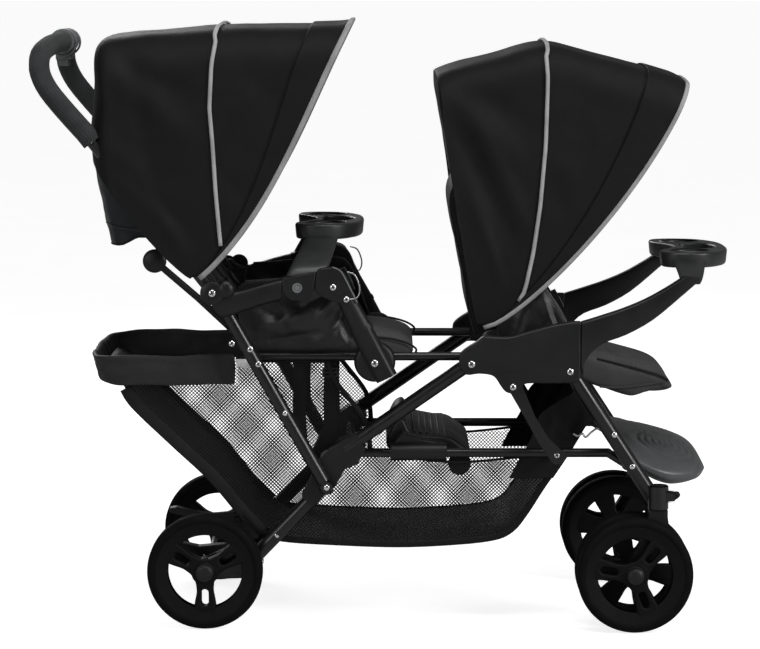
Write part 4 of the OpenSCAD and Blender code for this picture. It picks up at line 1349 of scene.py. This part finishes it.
def back_panel():
    """Glossy cloth panel behind the rear backrest, open at the front, with a puckered hem."""
    rows, cols = 34, 130
    body = "rear_seat_back"
    half = [(-392, -166), (-430, -172), (-476, -172), (-500, -160), (-508, -120)]
    plan = half + [(-510, 0)] + mirrored(half)[len(half):]
    grid = np.zeros((rows, cols, 3))
    for c, (x, y) in enumerate(resample(spline(plan, 8), cols)):
        depth = np.clip((x + 500) / 100, 0, 1)
        foot = 672 + 14 * smoothstep(-490, -440, x) - 6 * smoothstep(-420, -392, x)
        head = max(846 - 168 * depth ** 0.9, foot + 6)
        for i in range(rows):
            k = i / (rows - 1)
            z = foot + (head - foot) * k
            lean = 26 * (1 - k) ** 1.6 * (1 - depth)
            wide = 1 + 0.36 * smoothstep(690, 840, z)
            pull = 3.0 * wobble((x, y, z), 34, 2.2) + 1.6 * wobble((x * 2, y * 2, z), 24, 5.1)
            grid[i, c] = (x + lean + pull * (1 - depth), y * wide + np.sign(y) * pull * depth, z)
    soft("rear_back_panel", thick_sheet(grid, 2.2), LOOK["vinyl_blue"], body)
    piece("rear_back_panel_hem", *tube(grid[0], 2.2, (1, 0, 0), 8), LOOK["binding"], body)
    seam = grid[int(rows * 0.22)] * [1.001, 1.012, 1]
    piece("rear_back_panel_seam", *tube(seam, 1.2, (1, 0, 0), 6), LOOK["thread"], body)


seat_walls()
back_panel()


# ---- harness ---------------------------------------------------------------

TONGUE = [(-10, -13), (10, -13), (12, 8), (6, 16), (-6, 16), (-12, 8)]


def strap(name, points, width, thick, up, body):
    path = resample(spline(points, 10), max(24, 8 * len(points)))
    piece(name, *sweep(path, oblong(width, thick), up), LOOK["webbing"], body)


def pad(name, points, up, body):
    """Stuffed shoulder pad around a strap, thin at its ends."""
    count = 26
    size = 0.72 + 0.28 * np.sin(np.pi * np.linspace(0, 1, count)) ** 0.4
    shape = sweep(resample(spline(points, 8), count), oblong(44, 11, 5), up, scale=size)
    piece(name, *shape, LOOK["cloth_gray"], body)


def harness(prefix, back, hang, lap, crotch, lean):
    """Five point harness: shoulder straps on the backrest, lap and crotch straps on the seat."""
    n = np.array(lean, float) / np.linalg.norm(lean)
    across = np.array([0, 1, 0])
    along = np.cross(n, across)
    for name, side in SIDES:
        points = [(x, side * y, z) for x, y, z in hang]
        strap(f"{prefix}_shoulder_strap_{name}", points, 24, 2.0, lean, back)
        pad(f"{prefix}_shoulder_pad_{name}", points[1:4], lean, back)
        v, f = cut_plate([TONGUE], 3, 1.5)
        v = np.array(points[-1]) + v @ np.stack([across, along, n])
        tongue = piece(f"{prefix}_shoulder_tongue_{name}", v, f, LOOK["plastic_dark"], back)
        outward(tongue)
        points = [(x, side * y, z) for x, y, z in lap]
        strap(f"{prefix}_lap_strap_{name}", points, 24, 2.0, (0.1, 0, 1), "chassis")
    strap(f"{prefix}_crotch_strap", crotch, 30, 2.4, (1, 0, 0.4), "chassis")


harness("rear", "rear_seat_back",
        [(-452, 46, 822), (-424, 47, 778), (-374, 50, 712), (-322, 54, 644), (-276, 60, 590)],
        [(-224, 140, 520), (-170, 120, 524), (-120, 70, 530), (-90, 24, 548)],
        [(-38, 0, 520), (-44, 0, 534), (-50, 0, 547), (-54, 0, 556)], (0.8, 0, 0.6))
harness("front", "front_seat_back",
        [(158, 46, 740), (166, 47, 708), (176, 50, 664), (186, 54, 610), (194, 60, 560)],
        [(196, 140, 505), (240, 120, 508), (280, 70, 530), (308, 22, 550)],
        [(344, 0, 492), (339, 0, 500), (334, 0, 507), (330, 0, 515)], (1, 0, 0.2))


# ---- front seat walls, gussets and hanging straps ---------------------------

def cloth_between(name, upper, lower, y, folds, mat, seed):
    """Cloth stretched between two side view lines, on both sides of the stroller."""
    for side_name, side in SIDES:
        def relief(x, z, k):
            lumps = 1.1 * wobble((x, 0, z), 22, seed + side)
            return 2.5 * math.sin(math.pi * k) + lumps + sum(fold(x, z, *one) for one in folds)

        hung_cloth(f"{name}_{side_name}", side, upper, lower, y, relief, mat, 2.2, 30, 50)


cloth_between("front_seat_wall",
              [(196, 548), (232, 574), (262, 594), (278, 600), (296, 578), (310, 556), (322, 532)],
              [(196, 500), (220, 500), (242, 500), (262, 500), (282, 498), (302, 496), (322, 494)], 174,
              [((270, 590), (300, 520), 8, 4), ((250, 580), (230, 510), 10, -4),
               ((290, 560), (312, 510), 6, -3)], LOOK["vinyl"], 3.0)
cloth_between("basket_front_gusset",
              [(346, 424), (335, 415), (300, 394), (272, 372), (257, 332), (238, 298), (218, 260)],
              [(366, 408), (374, 388), (376, 367), (356, 355), (342, 332), (324, 302), (296, 260)], 187,
              [((352, 410), (310, 330), 9, 3), ((368, 380), (330, 340), 7, -3),
               ((300, 380), (270, 300), 10, 3)], LOOK["cloth"], 5.0)


def rectangle(x0, y0, x1, y1):
    return [(x0, y0), (x1, y0), (x1, y1), (x0, y1)]


def hanging_straps():
    """Straps that hang the basket from the seat rails, with their slide buckles."""
    slots = [rectangle(-10, 2, 10, 5), rectangle(-10, -5, 10, -2)]
    for name, side in SIDES:
        y = side * 181
        for k, (x, low) in enumerate(((-96, 282), (-150, 330))):
            path = [(x + 1, y, 484), (x, y * 1.008, 440), (x - 1, y, 380), (x + 2, y * 0.995, low)]
            strap(f"basket_strap_{name}_{k}", path, 23, 1.8, (0, side, 0), "chassis")
        v, f = upright(cut_plate([rectangle(-14, -9, 14, 9)] + slots, 2.6, 1.0), side * 185)
        solid(f"basket_slider_{name}", (v + [-96, 0, 448], f), LOOK["plastic_dark"], "chassis", 38)


STOP = [(0.01, -9), (16, -9), (20, -6), (21, 0), (20, 6), (16, 9), (0.01, 9)]


def back_frame():
    """Bars of the rear backrest frame and the round stops at their ends."""
    for name, side in SIDES:
        bar = tube(flat([(-262, 512), (-330, 576), (-402, 638)], side * 150), 6.2, (0, 1, 0), 14)
        stop = lathe(STOP, np.array([-406, side * 150, 641]), 36)
        solid(f"rear_back_frame_{name}", [bar, stop], LOOK["plastic_dark"], "rear_seat_back", 38)


hanging_straps()
back_frame()


# ---- footrests -------------------------------------------------------------

STEP_HALF = 206
RIDGE_X, RIDGE_Y, RIDGE_PITCH = 500, 104, 12.5
# stations of the front footrest from back to front: x, top and underside
STEP_LINE = [(408, 332, 300), (432, 331, 282), (466, 327, 256), (498, 320, 243), (524, 312, 243),
             (546, 301, 248), (562, 288, 254), (572, 270, 262)]


def footrest_ring(x, top, low, round_points=150):
    """Cross section of the front footrest: crowned above, dished and ridged where the shoes rest."""
    t = (x - STEP_LINE[0][0]) / (STEP_LINE[-1][0] - STEP_LINE[0][0])
    half = STEP_HALF * (1 - max(0.0, t - 0.3) ** 2.2 * 0.62)
    if t > 0.85:
        half *= 1 - 0.35 * ((t - 0.85) / 0.15) ** 2
    side_z = low + (top - low) * 0.34
    ring = []
    for k in range(round_points):
        a = 2 * math.pi * k / round_points
        ca, sa = math.cos(a), math.sin(a)
        y = half * np.sign(ca) * abs(ca) ** 0.62
        if sa >= 0:
            z = side_z + (top - side_z) * max(0.0, 1 - abs(y / half) ** 2.3) ** 0.62
        else:
            z = side_z - (side_z - low) * abs(sa) ** 0.5
        if sa > 0.1:
            r = math.hypot(x - RIDGE_X, (abs(y) - RIDGE_Y) / 1.15)
            groove = 0.5 + 0.5 * math.cos(2 * math.pi * r / RIDGE_PITCH)
            z -= 2.8 * (1 - smoothstep(50, 56, r)) * groove ** 3 + 1.6 * (1 - smoothstep(54, 66, r))
        ring.append((x, y, z))
    return np.array(ring)


def front_footrest():
    rings = [footrest_ring(*station) for station in resample(spline(STEP_LINE, 8), 90)]
    # the shell's plastic is lightened past its own gray as a painted highlight
    solid("front_footrest_shell", loft(rings), LOOK["plastic_step_highlit"], "chassis", 60, "front_footrest")


def rear_footrest():
    """Ribbed step of the rear seat with its clips on the lower bars."""
    line = [(2, 316), (10, 340), (20, 356), (34, 359), (46, 336), (74, 331), (112, 328), (132, 316),
            (150, 302), (148, 290), (112, 294), (60, 296), (20, 297)]
    arm = [(14, 300), (18, 326), (30, 342), (60, 330), (104, 322), (106, 296), (60, 292)]
    round_foot = [(0.01, -9), (16, -9), (20, -6), (20, 6), (16, 9), (0.01, 9)]
    parts = [upright(cut_plate([spline(line, 3, closed=True)], 150, 6, 3), 0)]
    for k in range(7):
        z = 335 - 1.5 * k - max(0, k - 5) * 3
        rib = [(52 + 11 * k, y, z) for y in np.linspace(-132, 132, 12)]
        parts.append(sweep(rib, oblong(5, 3), (0.1, 0, 1)))
    for _, side in SIDES:
        parts.append(tube(flat([(10, 308), (108, 308)], side * 190), 15.5, (0, 0, 1), 28))
        parts.append(upright(cut_plate([arm], 20, 3, 2), side * 166))
        parts.append(lathe(round_foot, np.array([132, side * 158, 282]), 36))
    solid("rear_footrest_step", parts, LOOK["plastic_dark"], "chassis", 45, "rear_footrest")


front_footrest()
rear_footrest()


# ---- rivets, screws and wire ------------------------------------------------

def screw_parts(x, z, y, side, r, cross):
    """Domed head, and a cross of dark bars on it: painted shade standing in for its recess."""
    dome = [(0.01, 2.6), (r * 0.45, 2.45), (r * 0.8, 1.7), (r, 0.5), (r, -0.6), (0.01, -0.6)]
    head = lathe(outboard(dome, side), np.array([x, y, z]), 24)
    bars = []
    for a in (0.5, 0.5 + math.pi / 2) if cross else ():
        d = np.array([math.cos(a), 0, math.sin(a)]) * r * 0.62
        p = np.array([x, y + side * 2.5, z])
        bars.append(sweep([p - d, p + d], circle(r * 0.13, 6), (0, side, 0)))
    return head, bars


def screws(name, spots):
    """One piece holding screws or rivets of the chassis: (x, z, |y|, radius, cross)."""
    heads, recess_shade_bars = [], []
    for _, side in SIDES:
        for x, z, y, r, cross in spots:
            head, bars = screw_parts(x, z, side * y, side, r, cross)
            heads.append(head)
            recess_shade_bars += bars
    # the dark plastic crosses are painted shade in the screw recesses, not real recesses
    metal, dark = join(heads), join(recess_shade_bars)
    face_mats = [0] * len(metal[1]) + [1] * len(dark[1])
    obj = piece(name, *join([metal, dark]), [LOOK["chrome"], LOOK["plastic_dark"]], "chassis", face_mats)
    outward(obj)


screws("frame_rivets", [(-266, 506, 247.5, 5.6, True), (-234, 496, 247.5, 5.6, True),
                        (-220, 470, 247.5, 5.6, True), (-174, 384, 247.5, 5.0, False),
                        (-102, 253, 247.5, 5.6, False), (-191, 160, 200.5, 5.0, False),
                        (400, 344, 233.5, 5.6, False), (432, 288, 233.5, 5.6, False),
                        (300, 308, 233.5, 6.2, True)])
screws("plate_screws", [(150, 471, 257.0, 6.6, True), (321, 458, 257.0, 6.2, True),
                        (222, 431, 257.0, 6.0, True)])
screws("armrest_screws", [(-299, 595, 262.6, 6.6, True), (-90, 605, 257.5, 6.0, True),
                          (-67, 584, 258.5, 5.6, True), (-18, 473, 259.8, 6.6, True)])


def bent_hooks():
    """Wire hooks behind the front legs."""
    line = [(398, 350), (386, 347), (374, 352), (362, 345), (352, 336), (346, 342), (338, 338), (330, 342)]
    for name, side in SIDES:
        shape = tube(flat(spline(line, 5), side * 205), 1.9, (0, 1, 0), 8)
        piece(f"front_hook_{name}", *shape, LOOK["wire"], "chassis")


# corners of the pale backing cloth, and its y
PALE_CLOTH = [("post", [(-262, 474), (-224, 474), (-224, 458), (-258, 460)], 206),
              ("plate", [(276, 443), (308, 441), (306, 434), (280, 435)], 228)]


def light_patches():
    """Pale backing cloth seen beside the posts and under the front side plates."""
    for name, side in SIDES:
        for stem, quad, y in PALE_CLOTH:
            a, b, c, d = np.array(quad, float)
            grid = []
            for k in np.linspace(0, 1, 6):
                start, end = a * (1 - k) + d * k, b * (1 - k) + c * k
                row = [start * (1 - t) + end * t for t in np.linspace(0, 1, 10)]
                grid.append([(x, side * (y + 0.8 * wobble((x, 0, z), 9, 1)), z) for x, z in row])
            shape = thick_sheet(np.array(grid), 1.2)
            piece(f"light_patch_{stem}_{name}", *shape, LOOK["light_cloth"], "chassis")


def grip_details():
    """Rivets of the grip and rings of the console."""
    rivet = [(0.01, 2.2), (3.6, 1.6), (4.4, 0), (0.01, 0)]
    for name, side in SIDES:
        shape = lathe(outboard(rivet, side), np.array([-507, side * 248.5, 857]), 20)
        outward(piece(f"grip_rivet_{name}", *shape, LOOK["chrome"], "handle"))
        for k, r in enumerate((23.6, 22.8)):
            ring = flat(circle(r, 48) + [-574.5, 1022], side * (40 - 9 * k))
            shape = tube(ring, 1.3, (0, 1, 0), 8, closed=True)
            piece(f"console_ring_{name}_{k}", *shape, LOOK["plastic_gray"], "handle")


def swivel_locks():
    """Short rounded levers of the swivel locks, close to their caster sockets."""
    line = [(494, 230), (502, 228), (512, 233), (516, 239), (512, 243), (500, 242), (494, 240)]
    for name, side in SIDES:
        node = f"caster_lock_{name}"
        lever = upright(cut_plate([spline(line, 3, closed=True)], 9, 2, 2), side * 231)
        solid(f"swivel_lock_{name}", lever, LOOK["plastic_dark"], node, 38, node)


bent_hooks()
light_patches()
grip_details()
swivel_locks()


# ---- stage, camera and end -------------------------------------------------

AIM_HEIGHT = 0.6
# name, place, what it aims at along x, width and height in m, power in W
LIGHTS = [("key", (3.4, -2.6, 2.0), 0.1, (1.2, 1.6), 110), ("top", (0.2, -1.4, 3.4), 0, (2.4, 1.2), 60),
          ("side", (-2.6, -3.2, 1.6), -0.1, (1.4, 1.6), 30), ("back", (-1.6, 3.6, 2.4), 0, (2.0, 1.6), 60)]


def area_light(name, place, aim_x, size, power):
    light = bpy.data.lights.new(name, "AREA")
    light.energy = power
    light.shape = "RECTANGLE"
    light.size, light.size_y = size
    obj = bpy.data.objects.new(name, light)
    obj.location = place
    towards = Vector((aim_x, 0, AIM_HEIGHT)) - Vector(place)
    obj.rotation_euler = towards.to_track_quat("-Z", "Y").to_euler()
    bpy.context.scene.collection.objects.link(obj)


def floor():
    """Pale floor that the camera sees brighter than it is lit."""
    n = Nodes("studio_floor")
    n.set(color=n.colours(n.spread(n.noise(400, 3), 0, 1), (0.5, 0.5, 0.5), (0.54, 0.54, 0.54)))
    n.set(rough=0.9, spec=0.05)
    n.bsdf.inputs["Emission Color"].default_value = (1, 1, 1, 1)
    to_camera = n.add("ShaderNodeLightPath").outputs["Is Camera Ray"]
    n.link(n.math("MULTIPLY", to_camera, 0.8), n.bsdf.inputs["Emission Strength"])
    n.bump(n.noise(30, 3), 0.2, 0.2)
    half, below = 200000, -1
    corners = [(x, y, below) for x, y in rectangle(-half, -half, half, half)]
    piece("studio_floor", corners, [(0, 1, 2, 3)], n.mat)


def surroundings():
    """White world: full strength for the camera, weaker as fill light and weaker still in reflections."""
    world = bpy.data.worlds.new("studio")
    bpy.context.scene.world = world
    world.use_nodes = True
    tree = world.node_tree
    back = tree.nodes["Background"]
    back.inputs["Color"].default_value = (1, 1, 1, 1)
    seen = tree.nodes.new("ShaderNodeLightPath")
    fill = tree.nodes.new("ShaderNodeMapRange")
    fill.inputs["To Min"].default_value = 0.3
    fill.inputs["To Max"].default_value = 0.14
    tree.links.new(seen.outputs["Is Glossy Ray"], fill.inputs["Value"])
    strength = tree.nodes.new("ShaderNodeMapRange")
    strength.inputs["To Max"].default_value = 1.0
    tree.links.new(seen.outputs["Is Camera Ray"], strength.inputs["Value"])
    tree.links.new(fill.outputs["Result"], strength.inputs["To Min"])
    tree.links.new(strength.outputs["Result"], back.inputs["Strength"])


def photo_camera():
    """Camera far from the stroller's right side, at canopy height and looking slightly down."""
    camera = bpy.data.cameras.new("photo")
    camera.sensor_width = 36
    camera.lens = 145.1
    camera.clip_end = 1000
    obj = bpy.data.objects.new("photo", camera)
    obj.location = (-0.0037, -5.524, 1.1257)
    obj.rotation_euler = (math.radians(90 - 6.34), 0, math.radians(0.056))
    bpy.context.scene.collection.objects.link(obj)
    bpy.context.scene.camera = obj


floor()
surroundings()
for light in LIGHTS:
    area_light(*light)
photo_camera()
bpy.context.scene.view_settings.view_transform = "Standard"
